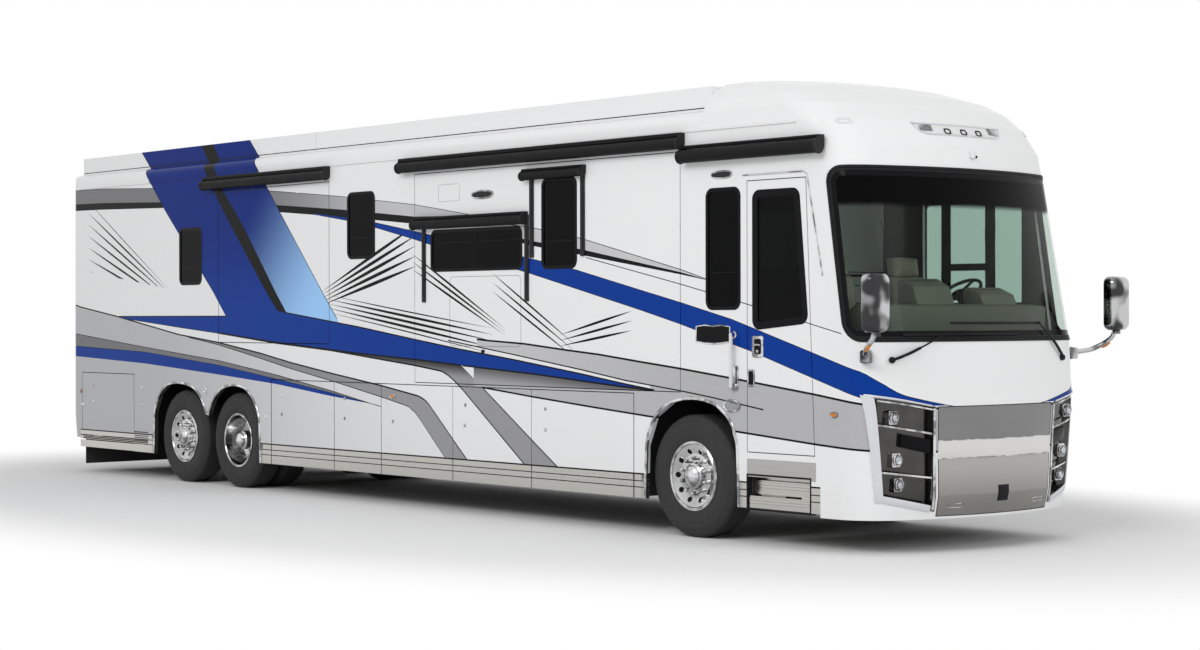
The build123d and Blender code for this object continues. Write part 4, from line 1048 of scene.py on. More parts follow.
for body, side, x0, x1, z0, z1, radius, border in pane_rows:
    outline = rounded(box_outline(x0, x1, z0, z1), radius, 6)
    place = on_side(side)
    shapes = framed.setdefault(body, [])
    shapes.append(ring(grown(outline, 0.012), grown(outline, -border), place, -0.006, 0.004, 0.0015))
    if x1 - x0 > wide_pane:
        middle = (x0 + x1) / 2 - 0.02
        rail = z1 - 0.30 * (z1 - z0)
        shapes.append(plate(box_outline(middle - 0.008, middle + 0.008, z0 + 0.02, z1 - 0.02), place,
                            -0.006, -0.0035, 0.001))
        shapes.append(plate(box_outline(x0 + 0.09, middle - 0.05, rail - bar_half, rail + bar_half),
                            place, -0.006, -0.0038, 0.001))
        shapes.append(plate(box_outline(middle + 0.05, x1 - 0.06, rail - bar_half, rail + bar_half),
                            place, -0.006, -0.0038, 0.001))
    else:
        rail = z0 + 0.30 * (z1 - z0)
        shapes.append(plate(box_outline(x0 + 0.05, x1 - 0.05, rail - bar_half, rail + bar_half), place,
                            -0.006, -0.0038, 0.001))
for body, shapes in framed.items():
    piece("window_frames_" + body, shapes, gloss_black, body)
pane_corner, driver_corner = 0.065, 0.05
door_opening = [(5.286, 1.776), (5.903, 1.832), (5.804, 2.900), (5.286, 2.900)]
door_pane_outline = rounded(door_opening, pane_corner, 6)
piece("entry_window_frame", [
    ring(grown(door_pane_outline, 0.014), grown(door_pane_outline, -0.050), right, -0.006, 0.004,
         0.0015),
], gloss_black, "entry_door")
driver_low, driver_high = 1.985, 2.884
driver_opening = box_outline(4.872, 6.010, driver_low, driver_high)
driver_frame = rounded(driver_opening, driver_corner, 6)
driver_shapes = [ring(grown(driver_frame, 0.022), grown(driver_frame, -0.010), left, -0.003, 0.005,
                      0.002)]
for bar in (box_outline(5.095, 5.166, driver_low, driver_high),
            box_outline(5.604, 5.680, driver_low, driver_high),
            box_outline(5.161, 5.609, 2.280, 2.342)):
    driver_shapes.append(plate(bar, left, -0.003, 0.004, 0.001))
    driver_shapes.append(plate(bar, lambda x, z, lift: Vector((x, half_body - 0.045 - lift, z)), -0.001,
                               0.003, 0.001))
piece("driver_window_frame", driver_shapes, gloss_black, "coach")
print("framed", len(pane_rows) + 2, "windows")

# %% [markdown]
# ## Wheels: tyres, nut covers and hub caps
# A coach tyre has a flat tread with straight grooves, ribbed shoulders and a
# side wall with fine rings. It is a turned part, so one profile turned about
# the axle gives it, and blocks cut round the shoulders give the edge its
# bite. Chrome covers sit on the ten nuts, with a bright cap over the hub.

# %% Tyres
wheel_height = tread_radius = 0.522
twin_spacing = 0.343
tyre_outer, tyre_wide = 1.240, 0.290
groove_depth, groove_half = 0.011, 0.0045
tread_grooves = (-0.072, -0.024, 0.024, 0.072)


def tyre_profile():
    """(radius, distance from the tyre's middle), from the inner bead round to the outer bead."""
    side_wall = [(0.287, 0.119), (0.297, 0.128), (0.306, 0.129), (0.309, 0.134), (0.330, 0.1395),
                 (0.333, 0.1375), (0.337, 0.1400), (0.372, 0.1445), (0.401, 0.1450), (0.404, 0.1430),
                 (0.408, 0.1446), (0.440, 0.1425), (0.466, 0.1370), (0.469, 0.1345), (0.473, 0.1355),
                 (0.492, 0.1285), (0.508, 0.1190), (0.515, 0.1150)]
    tread = [(0.5195, 0.106), (tread_radius, 0.098)]
    for middle in reversed(tread_grooves):
        floor_r = tread_radius - groove_depth
        tread += [(tread_radius, middle + groove_half), (floor_r, middle + groove_half * 0.7),
                  (floor_r, middle - groove_half * 0.7), (tread_radius, middle - groove_half)]
    tread += [(tread_radius, -0.098), (0.5195, -0.106)]
    far_wall = [(radius, -distance) for radius, distance in reversed(side_wall)]
    return side_wall + tread + far_wall + [(0.287, -0.100), (0.287, 0.100)]


def shoulder_cuts(points, centre, steps):
    """Press a row of cuts into both shoulders of a turned tyre."""
    cut_depth, cut_from, shoulder = 0.006, 0.510, (0.100, 0.118)
    moved = []
    for number, point in enumerate(points):
        offset = Vector(point) - Vector(centre)
        radius = math.hypot(offset.x, offset.z)
        if radius > cut_from and shoulder[0] < abs(offset.y) < shoulder[1] and number % steps % 3 == 0:
            scale = (radius - cut_depth) / radius
            offset.x, offset.z = offset.x * scale, offset.z * scale
        moved.append(Vector(centre) + offset)
    return moved


tyre_steps = 132
wheel_rows = [
    ("front", "left", 4.490), ("front", "right", 4.490), ("drive", "left", -2.955),
    ("drive", "right", -2.955), ("tag", "left", -4.132), ("tag", "right", -4.132),
]
for axle, side_name, x in wheel_rows:
    side = 1 if side_name == "left" else -1
    shapes = []
    insets = (0.0, twin_spacing) if axle == "drive" else (0.0,)
    for inset in insets:
        centre = (x, side * (tyre_outer - tyre_wide / 2 - inset), wheel_height)
        points, faces = turned(tyre_profile() + tyre_profile()[:1], centre, (0, side, 0), tyre_steps,
                               False)
        shapes.append((shoulder_cuts(points, centre, tyre_steps), faces))
    made = piece(f"tyre_skin_{axle}_{side_name}", shapes, rubber,
                 f"wheel_{axle}_{side_name}", 28.0)
    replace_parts(made, f"tyre_{axle}_{side_name}")
print("tyres with", len(tread_grooves), "grooves and", tyre_steps // 3, "shoulder cuts")

# %% Nut covers and hub caps
nut_count = 10
nut_circle = 0.150
hand_hole_circle = 0.214
# slope of the disc at the hand holes (rise, run) and its place: plain wheels, then deep twin wheels
hand_hole_face = {False: (0.032, 0.074, 1.2085), True: (0.080, 0.060, 0.9545)}
cover_profile = [(0.0205, 0.0), (0.0205, 0.010), (0.0175, 0.013), (0.0165, 0.034), (0.0135, 0.046),
                 (0.0075, 0.053), (0.0002, 0.055)]
cap_profile = [(0.100, -0.004), (0.100, 0.006), (0.096, 0.014), (0.080, 0.026), (0.055, 0.035),
               (0.028, 0.040), (0.0002, 0.041)]
# closed outlines of the ring round each hand hole and of the rim's bead
hole_ring = [(0.0265, -0.003), (0.0262, 0.0015), (0.0245, 0.0028), (0.0232, 0.0015), (0.0232, -0.003),
             (0.0265, -0.003)]
bead_profile = [(0.272, 0.0), (0.276, 0.005), (0.283, 0.006), (0.288, 0.003), (0.288, -0.002),
                (0.272, -0.002), (0.272, 0.0)]
for axle, side_name, x in wheel_rows:
    side = 1 if side_name == "left" else -1
    deep = axle == "drive"
    face_y = 0.9355 if deep else 1.1975
    hub_y = 1.198 if deep else 1.243
    shapes = [turned([(r * (0.86 if deep else 0.92), h) for r, h in cap_profile],
                     (x, side * hub_y, wheel_height), (0, side, 0), 40)]
    for number in range(nut_count):
        angle = 2 * math.pi * (number + 0.5) / nut_count
        spot = (x + math.cos(angle) * nut_circle, side * (face_y - 0.002),
                wheel_height + math.sin(angle) * nut_circle)
        shapes.append(turned(cover_profile, spot, (0, side, 0), 18))
    holes, rings = [], []
    face_rise, face_run, hole_y = hand_hole_face[deep]
    for number in range(nut_count):
        angle = 2 * math.pi * number / nut_count
        across = Vector((math.cos(angle), 0.0, math.sin(angle)))
        outwards = (Vector((0.0, side * face_run, 0.0)) - across * face_rise).normalized()
        spot = Vector((x, side * hole_y, wheel_height)) + across * hand_hole_circle
        # a gloss black plug in each hand hole: painted shade of the hollow behind it
        holes.append(turned([(0.0235, -0.004), (0.0235, 0.0024), (0.0002, 0.0024)], spot, outwards, 22))
        rings.append(turned(hole_ring, spot, outwards, 22, False))
    piece(f"hand_hole_shade_{axle}_{side_name}", holes, gloss_black, f"wheel_{axle}_{side_name}")
    shapes += rings
    bead = turned(bead_profile, (x, side * (tyre_outer - 0.012), wheel_height), (0, side, 0), 96, False)
    shapes.append(bead)
    piece(f"wheel_brightwork_{axle}_{side_name}", shapes, chrome,
          f"wheel_{axle}_{side_name}", 30.0)
print("wheels dressed with", nut_count, "nut covers each")

# %% [markdown]
# ## Headlamps
# Each cluster is a dark chromed tray in a pale C-shaped frame, with three
# small round lamps on square bright bezels, slanting ledges between them and
# a smoked side lamp that carries on the hood's light band. The frame and
# ledges follow the cap's skin; the lamps are turned parts: a bezel, a bowl
# and a clear dome over it.

# %% Frames and ledges of the lamps
lamp_corners = [(0.690, 0.330), (1.135, 0.430), (1.232, 1.245), (0.720, 1.165)]
satin_white = plain_finish("satin_white", rgb(0.60, 0.61, 0.64), rgb(0.68, 0.69, 0.72), 0.25, 5.0,
                           0.0002, 0.2)
bright_patch = [
    # corners as (distance from the middle, height): ledge edges and bezel plates
    [(0.712, 0.938), (1.196, 1.020), (1.196, 1.034), (0.712, 0.953)],
    [(0.706, 0.592), (1.150, 0.647), (1.150, 0.661), (0.706, 0.606)],
    [(0.700, 0.352), (1.110, 0.444), (1.112, 0.456), (0.700, 0.366)],
    [(0.730, 1.145), (1.190, 1.222), (1.190, 1.210), (0.730, 1.133)],
]
frame_patch = [
    [(1.112, 0.420), (1.160, 0.412), (1.258, 1.262), (1.205, 1.240)],
    [(0.735, 0.332), (1.150, 0.420), (1.125, 0.470), (0.735, 0.384)],
    [(0.76, 1.166), (1.250, 1.250), (1.245, 1.268), (0.76, 1.178)],
]
pillar_patch = [(0.7005, 0.345), (0.722, 0.345), (0.745, 1.150), (0.7205, 1.150)]


def on_nose_side(side):
    def place(y, z, lift):
        return on_nose(side * y, z, lift)
    return place


tray_depth = 0.062
tray_edge = divided(lamp_corners, 0.04)
side_lamp = [(0.725, 0.786), (1.010, 0.850), (1.010, 0.952), (0.725, 0.902)]
for side, side_name in sides:
    place = on_nose_side(side)
    made = piece("lamp_tray_" + side_name, [
        pad(lamp_corners, place, -tray_depth - 0.012, -tray_depth, 12, 24, 0.0),
        ring(tray_edge, grown(tray_edge, -0.012), place, -tray_depth - 0.012, 0.001, 0.001),
    ], smoked, "coach")
    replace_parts(made, "bright_trims")
    piece("side_lamp_" + side_name, [pad(side_lamp, place, -tray_depth, -0.014, 8, 4, 0.004)],
          gloss_black, "coach")
    piece("lamp_ledges_" + side_name,
          [pad(c, place, -0.014, -0.002, 10, 1, 0.002) for c in bright_patch]
          + [pad(pillar_patch, place, -0.006, 0.010, 1, 12, 0.003)],
          chrome, "coach")
    piece("lamp_frame_" + side_name, [pad(c, place, 0.004, 0.0135, 10 if n else 3, 12 if n == 0 else 3,
                                          0.004)
                                      for n, c in enumerate(frame_patch)],
          satin_white, "coach")

# %% Round lamps
head_lamps = [(1.068, 1.083), (1.016, 0.748), (0.986, 0.551)]
lamp_core = plain_finish("lamp_core", rgb(0.55, 0.58, 0.62), rgb(0.75, 0.78, 0.80), 0.15, 30.0, 0.0001,
                         0.9)
bowl_profile = [(0.0475, -0.004), (0.0475, 0.010), (0.043, 0.016), (0.0385, 0.014), (0.037, 0.006)]
dome_profile = [(0.0385, 0.0), (0.0385, 0.006), (0.034, 0.012), (0.020, 0.018), (0.0002, 0.020)]
core_profile = [(0.030, 0.0), (0.030, 0.003), (0.017, 0.004), (0.0165, 0.009), (0.0002, 0.012)]
for side, side_name in sides:
    rims, domes, cores = [], [], []
    for y, z in head_lamps:
        front = on_nose(side * y, z, 0.0).x - 0.026
        spot = (front - 0.004, side * y, z)
        plate_outline = rounded(box_outline(y - 0.046, y + 0.046, z - 0.056, z + 0.056), 0.014, 3)
        turns = [math.atan2(v - z, u - y) for u, v in plate_outline]
        hole = [(y + 0.0465 * math.cos(turn), z + 0.0465 * math.sin(turn)) for turn in turns]

        def bezel_place(u, v, lift, side=side, front=front):
            return Vector((front - 0.012 + lift, side * u, v))
        rims.append(ring(plate_outline, hole, bezel_place, -0.075, 0.004, 0.003))
        rims.append(turned(bowl_profile, spot, (1, 0, 0), 36))
        domes.append(turned(dome_profile, spot, (1, 0, 0), 32))
        cores.append(turned(core_profile, (front - 0.002, side * y, z), (1, 0, 0), 28))
    piece("lamp_bezels_" + side_name, rims, chrome, "coach")
    domes = piece("lamp_domes_" + side_name, domes, clear_lens, "coach")
    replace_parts(domes, "lamps")
    piece("lamp_cores_" + side_name, cores, lamp_core, "coach")
print("six round lamps")

# %% [markdown]
# ## The hood and the cap's own fittings
# A brushed light band crosses the hood and stands a little proud. Below it
# sit a black square cover and two slots. High on the cap is a six-sided plate
# with three clearance lamps, a small camera housing and corner lamps.

# %% Hood band, cover and slots
brushed_band = new_material("brushed_band", Metallic=0.9, Roughness=0.3)
grain = brushed_band.group("brushed_grain", Place=brushed_band.place, Stretch=(3.0, 8.0, 600.0))
brushed_band.shade("Base Color", brushed_band.mix(grain.outputs["Grain"], rgb(0.60, 0.59, 0.57),
                                                  rgb(0.74, 0.73, 0.71)))
brushed_band.shade("Roughness", brushed_band.ramp(grain.outputs["Grain"], 0.2, 0.8, 0.24, 0.4))
piece("hood_band", [pad(box_outline(-0.688, 0.688, 0.755, 0.893),
                        on_nose, -0.002, 0.006, 40, 4, 0.004)], brushed_band, "front_hood")
piece("hood_band_edges", [pad(box_outline(-0.689, 0.689, z0, z0 + 0.006),
                              on_nose, -0.002, 0.0085, 40, 1, 0.002) for z0 in (0.750, 0.892)],
      chrome, "front_hood")
cover = [pad(box_outline(-0.062, 0.066, 0.392, 0.522), on_nose, -0.001, 0.004, 6, 6, 0.002)]
cover += [pad(box_outline(-0.056, 0.060, z, z + 0.008), on_nose, 0.003, 0.006, 4, 1, 0.001)
          for z in (0.402, 0.421, 0.440, 0.459, 0.478, 0.497)]
slot_y, slot_half = 0.505, 0.078
for side in (-1, 1):
    middle = side * slot_y
    slot_corners = box_outline(middle - slot_half, middle + slot_half, 0.3625, 0.3865)
    cover.append(pad(slot_corners, on_nose, -0.012, -0.006, 8, 1, 0.001))
piece("hood_black_parts", cover, trim_black, "front_hood")
slot_rims = []
for side in (-1, 1):
    middle, reach = side * slot_y, slot_half + 0.002
    outline = divided(box_outline(middle - reach, middle + reach, 0.3605, 0.3885), 0.02)
    slot_rims.append(ring(grown(outline, 0.004), grown(outline, -0.002), on_nose, -0.001, 0.002, 0.0008))
piece("hood_slot_rims", slot_rims, chrome, "front_hood")

# %% Plate, clearance lamps, camera housing and side markers of the cap
badge = [(-0.545, 3.444), (-0.490, 3.366), (-0.415, 3.346), (0.415, 3.346), (0.490, 3.366),
         (0.545, 3.444)]
badge_edge = divided(badge, 0.05)
piece("cap_plate_rim", [ring(badge_edge, grown(badge_edge, -0.014), on_nose, -0.001, 0.010, 0.003)],
      satin_white, "coach")
plate_white = plain_finish("plate_white", rgb(0.70, 0.70, 0.71), rgb(0.76, 0.76, 0.77), 0.3, 6.0, 0.0002)
piece("cap_plate", [pad([(-0.315, 3.352), (0.315, 3.352), (0.330, 3.440), (-0.330, 3.440)], on_nose,
                        -0.001, 0.006, 16, 3, 0.003)], plate_white, "coach")
lens_ribs = []
for side in (-1, 1):
    for number in range(9):
        y0, y1 = sorted((side * (0.345 + number * 0.0155), side * (0.353 + number * 0.0155)))
        lens_ribs.append(pad(box_outline(y0, y1, 3.374, 3.428), on_nose, 0.004, 0.0075, 1, 1, 0.001))
piece("cap_lens_ribs", lens_ribs, chrome, "coach")
marker_black = []
for y in (-0.190, 0.0, 0.190):
    outline = rounded(box_outline(y - 0.028, y + 0.028, 3.364, 3.396), 0.012, 4)
    marker_black.append(ring(grown(outline, 0.008), grown(outline, -0.001), on_nose, 0.0, 0.016, 0.003))
camera_box = rounded([(-0.030, 3.158), (0.030, 3.158), (0.026, 3.214), (-0.026, 3.214)], 0.010, 4)
marker_black.append(turned([(0.011, 0.0), (0.011, 0.006), (0.0002, 0.008)], on_nose(0.008, 3.172, 0.038),
                           (0.9, 0.0, -0.35), 20))
piece("cap_black_fittings", marker_black, trim_black, "coach")
piece("cap_camera_housing", [plate(camera_box, on_nose, -0.004, 0.040, 0.010)], plate_white,
      "coach")
for side, side_name in sides:
    place = on_nose_side(side)
    y0, z0 = 1.107, 3.439
    base = rounded(box_outline(y0 - 0.048, y0 + 0.048, z0 - 0.021, z0 + 0.019), 0.014, 4)
    piece("corner_lamp_base_" + side_name, [ring(grown(base, 0.004), grown(base, -0.012), place, -0.002,
                                                 0.008, 0.002)],
          plate_white, "coach")
print("cap dressed")

# %% [markdown]
# ## Rounded corners of the glass
# Every pane has generous round corners, because a sharp corner of an opening
# starts cracks. The openings are cut square, so a small corner piece in body
# colour fills each one, flush with the wall. On the windscreen it bends with
# the cap. Each piece runs from the opening's corner to the arc in fine rows.

# %% Corner pieces
def patch(rows, place, low, high):
    """A thin shell over a grid of outline points, laid on a skin."""
    points = [place(u, v, lift) for lift in (low, high) for row in rows for u, v in row]
    return points, shell_faces(len(rows[0]), len(rows))


def corner_pieces(corners, radius, place, low, high, steps=6, rows=4):
    """Four pieces that turn a four-cornered opening into one with round corners."""
    shapes = []
    arcs = rounded(corners, radius, steps)
    for number, corner in enumerate(corners):
        arc = arcs[number * (steps + 1):(number + 1) * (steps + 1)]
        grid = []
        for row in range(rows + 1):
            share = 0.02 + 0.98 * row / rows
            grid.append([tuple(Vector(corner).lerp(Vector(point), share)) for point in arc])
        shapes.append(patch(grid, place, low, high))
    return shapes


filled = {}
for body, side, x0, x1, z0, z1, radius, border in pane_rows:
    corners = box_outline(x0 - 0.001, x1 + 0.001, z0 - 0.001, z1 + 0.001)
    filled.setdefault(body, []).extend(corner_pieces(corners, radius, on_side(side), -0.010, 0.0005))
for body, shapes in filled.items():
    piece("window_corners_" + body, shapes, paint, body)
piece("entry_window_corners", corner_pieces(door_opening, pane_corner, right, -0.010, 0.0005),
      paint, "entry_door")
piece("driver_window_corners", corner_pieces(driver_opening, driver_corner, left, -0.010, 0.0005),
      paint, "coach")
piece("windscreen_corners", corner_pieces(screen_corners, screen_radius, around_nose, -0.003, 0.0015, 8,
                                          8),
      paint, "coach")
print("rounded", 4 * (len(pane_rows) + 3), "corners")

# %% [markdown]
# ## Wheel arches, ribbed strip and drip rail
# A bright trim rings each arch. The stainless strip at the foot of the body
# is pressed with long ribs, and the front doors' strip carries rows of oblong
# dimples. A drip rail runs under the roof and another over the entry door.

# %% Arch trims
def arc_points(first, middle, last, steps):
    """Points on the arc through three points, without the last."""
    (ax, ay), (bx, by), (cx, cy) = first, middle, last
    d = 2 * (ax * (by - cy) + bx * (cy - ay) + cx * (ay - by))
    a2, b2, c2 = ax * ax + ay * ay, bx * bx + by * by, cx * cx + cy * cy
    centre = Vector(((a2 * (by - cy) + b2 * (cy - ay) + c2 * (ay - by)) / d,
                     (a2 * (cx - bx) + b2 * (ax - cx) + c2 * (bx - ax)) / d))
    start, end = Vector(first) - centre, Vector(last) - centre
    turn_between = start.angle_signed(end)
    return [tuple(centre + Matrix.Rotation(-turn_between * n / steps, 2) @ start) for n in range(steps)]


def offset_line(path, amount):
    """An open line moved sideways, to the left of its direction."""
    made = []
    for number, here in enumerate(path):
        before, after = path[max(number - 1, 0)], path[min(number + 1, len(path) - 1)]
        along = (Vector(after) - Vector(before)).normalized()
        made.append(tuple(Vector(here) + Vector((-along.y, along.x)) * amount))
    return made


def band(inner, outer, place, low, high, ease=0.0015):
    """A strip between two open lines of equal length, with its edges eased."""
    count = len(inner)

    def eased(line, towards):
        return [tuple(Vector(a) + (Vector(b) - Vector(a)).normalized() * ease)
                for a, b in zip(line, towards)]
    rows = [(outer, low), (outer, high - ease), (eased(outer, inner), high),
            (eased(inner, outer), high), (inner, high - ease), (inner, low)]
    points = [place(u, v, lift) for line, lift in rows for u, v in line]
    faces = []
    for row in range(len(rows)):
        following = (row + 1) % len(rows)
        for number in range(count - 1):
            faces.append((row * count + number, row * count + number + 1,
                          following * count + number + 1, following * count + number))
    faces.append(tuple(row * count for row in range(len(rows))))
    faces.append(tuple(row * count + count - 1 for row in reversed(range(len(rows)))))
    return points, faces


arch_rows = [
    # feet, then arcs as three points each, from the rear forwards
    ((3.931, 0.300), (5.106, 0.300), [
        ((3.948, 0.760), (4.060, 1.010), (4.290, 1.150)),
        ((4.290, 1.150), (4.537, 1.184), (4.790, 1.150)),
        ((4.790, 1.150), (5.000, 1.010), (5.090, 0.760))]),
    ((-4.748, 0.300), (-2.406, 0.300), [
        ((-4.735, 0.760), (-4.610, 0.990), (-4.410, 1.110)),
        ((-4.410, 1.110), (-4.150, 1.130), (-3.900, 1.100)),
        ((-3.900, 1.100), (-3.680, 0.980), (-3.560, 0.785)),
        ((-3.500, 0.785), (-3.380, 0.980), (-3.180, 1.100)),
        ((-3.180, 1.100), (-2.955, 1.130), (-2.720, 1.100)),
        ((-2.720, 1.100), (-2.530, 0.960), (-2.425, 0.760))]),
]
arch_trims = []
for rear_foot, front_foot, arcs in arch_rows:
    path = [rear_foot, (rear_foot[0] + 0.006, 0.53)]
    for arc in arcs:
        path += arc_points(*arc, 10)
    path += [arcs[-1][2], (front_foot[0] - 0.006, 0.53), front_foot]
    for side in (-1, 1):
        arch_trims.append(band(offset_line(path, -0.012), offset_line(path, 0.014), on_side(side),
                               -0.012, 0.007, 0.003))
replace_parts(piece("arch_trims", arch_trims, chrome, "coach"), "bright_trims")
print("arch trims on both sides")

# %% Ribs and dimples of the stainless strip, drip rails
strip_bodies = {
    # body, side: stretches of the strip from one joint to the next
    ("coach", -1): [(-6.578, -4.80), (-2.35, -2.185), (3.790, 3.880), (5.150, 5.212), (5.945, 6.048)],
    ("coach", 1): [(-6.578, -4.80), (-2.35, -2.185), (3.790, 3.880), (5.150, 6.048)],
}
right_edges = [-2.178, -0.955, -0.100, 1.113, 2.337, 3.777]
left_edges = [-2.178, -0.300, 1.650, 3.777]
for name, side, edges in (("right", -1, right_edges), ("left", 1, left_edges)):
    for number, (rear, front) in enumerate(zip(edges, edges[1:]), start=1):
        strip_bodies[(f"baggage_door_{name}_{number}", side)] = [(rear + 0.008, front - 0.008)]
rib_rows = [(0.400, 0.443), (0.455, 0.503)]
for (body, side), stretches in strip_bodies.items():
    shapes, place = [], on_side(side)
    for x0, x1 in stretches:
        for z0, z1 in rib_rows:
            shapes.append(pad(box_outline(x0, x1, z0, z1), place, -0.001, 0.0032, 2, 1, 0.0026))
        shapes.append(pad(box_outline(x0, x1, 0.304, 0.388), place, -0.001, 0.0032, 2, 1, 0.0026))
        if x0 > 2.3 and x1 - x0 > 1.0:
            count = int((x1 - x0 - 0.08) / 0.11)
            for number in range(count):
                x = x0 + 0.06 + number * 0.11
                for z in (0.422, 0.479):
                    dimple = rounded(box_outline(x, x + 0.072, z - 0.0075, z + 0.0075), 0.0070, 3)
                    shapes.append(plate(dimple, place, 0.002, 0.0052, 0.0012))
    piece("strip_ribs_" + body + ("_left" if side > 0 else ""), shapes, stainless, body, 25.0)
rails = []
for side in (-1, 1):
    rails.append(pad(box_outline(-6.578, 5.780, 3.438, 3.460), on_side(side), -0.001, 0.010, 4, 1,
                     0.003))
piece("drip_rail", rails, paint, "coach")
door_rail = [(5.160, 3.040), (5.860, 3.040), (5.905, 3.020), (5.960, 2.760), (6.078, 2.200)]
door_rail = divided(door_rail + [door_rail[0]], 5.0)[:-1]
piece("door_drip_rail", [band(offset_line(door_rail, -0.005), offset_line(door_rail, 0.005), right,
                              -0.001, 0.010, 0.002)],
      chrome, "coach")

# %% [markdown]
# ## Rolled awnings
# A rolled awning is black cloth on a tube between two end caps, hung below a
# cover strip on the wall. The toppers over the slide rooms, the long awning
# over the entry and the two window awnings are all the same thing in other
# sizes, so one table drives them. The window awnings also have two flat
# spring arms that lie against the wall.

# %% Awnings
roller_rows = [
    # name, body, replaced node, side, x0, x1, z0, z1, radius, strip, arms' x, arms' foot
    ("topper_right_rear", "coach", "slide_toppers", -1, -3.520, -1.020, 3.288, 3.438, 0.050, 0.038, (),
     0),
    ("topper_right_front", "coach", "slide_toppers", -1, 0.290, 4.450, 3.288, 3.438, 0.050, 0.038, (),
     0),
    ("topper_left", "coach", "slide_toppers", 1, -3.520, 4.450, 3.288, 3.438, 0.050, 0.038, (), 0),
    ("entry_awning", "coach", "slide_toppers", -1, 4.455, 6.100, 3.165, 3.320, 0.056, 0.024, (), 0),
    ("wide_window_awning", "slide_room_right_front", "window_awnings", -1,
     0.525, 2.293, 2.724, 2.850, 0.044, 0.028, (0.650, 2.278), 2.020),
    ("tall_window_awning", "slide_room_right_front", "window_awnings", -1,
     2.256, 3.133, 3.125, 3.237, 0.040, 0.022, (2.353, 3.090), 2.420),
]
cap_grow, cap_width, roll_steps = 0.006, 0.014, 28
awning_grey = plain_finish("awning_caps", rgb(0.020, 0.020, 0.021), rgb(0.035, 0.035, 0.036), 0.35, 8.0,
                           0.0002, 0.0)
for name, body, node, side, x0, x1, z0, z1, radius, strip, arms, foot in roller_rows:
    axis_lift, axis_z = radius + cap_grow + 0.003, z0 + radius + cap_grow
    cap_r = radius + cap_grow

    def across(x, lift, z, side=side):
        return Vector((x, side * (half_body + lift), z))
    tube_rows = []
    rings_along = [x0 + cap_width, x0 + 0.25, (x0 + x1) / 2, x1 - 0.25, x1 - cap_width]
    for x in rings_along:
        # the roll of cloth with its hem standing a little proud
        row = []
        for step in range(roll_steps):
            angle = 2 * math.pi * step / roll_steps
            r = radius + (0.004 if 4 <= step <= 5 else 0.0) - 0.0012 * math.sin(x * 9.0 + angle)
            row.append(across(x, axis_lift + r * math.cos(angle), axis_z + r * math.sin(angle)))
        tube_rows.append(row)
    cover = [(0.0, z1 - strip), (axis_lift, z1 - strip), (axis_lift + 0.006, z1 - strip + 0.008),
             (axis_lift + 0.006, z1 - 0.006), (axis_lift, z1), (0.0, z1)]
    shapes = [loft(tube_rows), loft([[across(x, lift, z) for lift, z in cover] for x in (x0 + 0.002,
                                                                                         x1 - 0.002)])]
    cloth_piece = piece(name, shapes, cloth, body, 40.0)
    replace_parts(cloth_piece, node)
    cap = [(0.0, axis_z), (0.0, z1), (axis_lift, z1)]
    for degrees in range(75, -166, -15):
        angle = math.radians(degrees)
        cap.append((axis_lift + cap_r * math.cos(angle), axis_z + cap_r * math.sin(angle)))
    ends = []
    for x in (x0, x1 - cap_width):
        ends.append(loft([[across(x + shift, lift, z) for lift, z in grown(cap[::-1], -inset)]
                          for shift, inset in ((0.0, 0.003), (0.003, 0.0), (cap_width - 0.003, 0.0),
                                               (cap_width, 0.003))]))
    for x in arms:
        arm = box_outline(x - 0.027, x + 0.027, foot, z1 - strip)
        place = on_side(side)
        ends.append(plate(rounded(arm, 0.006, 2), place, 0.001, 0.018, 0.004))
        inner_arm = box_outline(x - 0.016, x + 0.016, foot + 0.05, z0 - 0.02)
        ends.append(plate(rounded(inner_arm, 0.006, 2), place, 0.016, 0.026, 0.004))
    piece(name + "_caps", ends, awning_grey, body, 40.0)
print("rolled", len(roller_rows), "awnings")

# %% [markdown]
# ## Mirrors and wipers
# The mirrors are tall chromed shells with soft edges on bent arms, each held
# by a square clamp on the corner of the cap, with a flat glass and a small
# wide-angle glass below it facing back. The wipers park low: each has a
# pivot cap at the foot of the screen, an arm and a long flat blade.

# %% Mirrors
shell_chrome = new_material("shell_chrome", Metallic=1.0, Roughness=0.08)
sweep_light = shell_chrome.noise(shell_chrome.place, 5.5, 1.0)
shell_chrome.shade("Base Color", shell_chrome.mix(shell_chrome.ramp(sweep_light, 0.40, 0.60),
                                                  rgb(0.05, 0.05, 0.052), rgb(0.55, 0.55, 0.56)))
shell_chrome.shade("Roughness", shell_chrome.ramp(sweep_light, 0.3, 0.7, 0.05, 0.12))
mirror_glass = new_material("mirror_glass", Metallic=1.0, Roughness=0.03)
mirror_glass.shade("Base Color", mirror_glass.mix(mirror_glass.noise(mirror_glass.place, 8.0),
                                                  rgb(0.66, 0.68, 0.69), rgb(0.72, 0.74, 0.75)))
shell_rows = [
    # x, inset all round
    (6.785, 0.012), (6.788, 0.004), (6.796, 0.0), (6.845, 0.0), (6.872, 0.005), (6.888, 0.014),
    (6.898, 0.028), (6.902, 0.046),
]
mirror_y, mirror_z = (1.368, 1.598), (1.754, 2.210)


def bent(points, steps=8):
    """A path through points with its inner corners softened."""
    path = [Vector(points[0])]
    for before, here, after in zip(points, points[1:], points[2:]):
        first, last = Vector(here).lerp(Vector(before), 0.3), Vector(here).lerp(Vector(after), 0.3)
        for step in range(steps + 1):
            t = step / steps
            path.append(first.lerp(Vector(here), t).lerp(Vector(here).lerp(last, t), t))
    return path + [Vector(points[-1])]


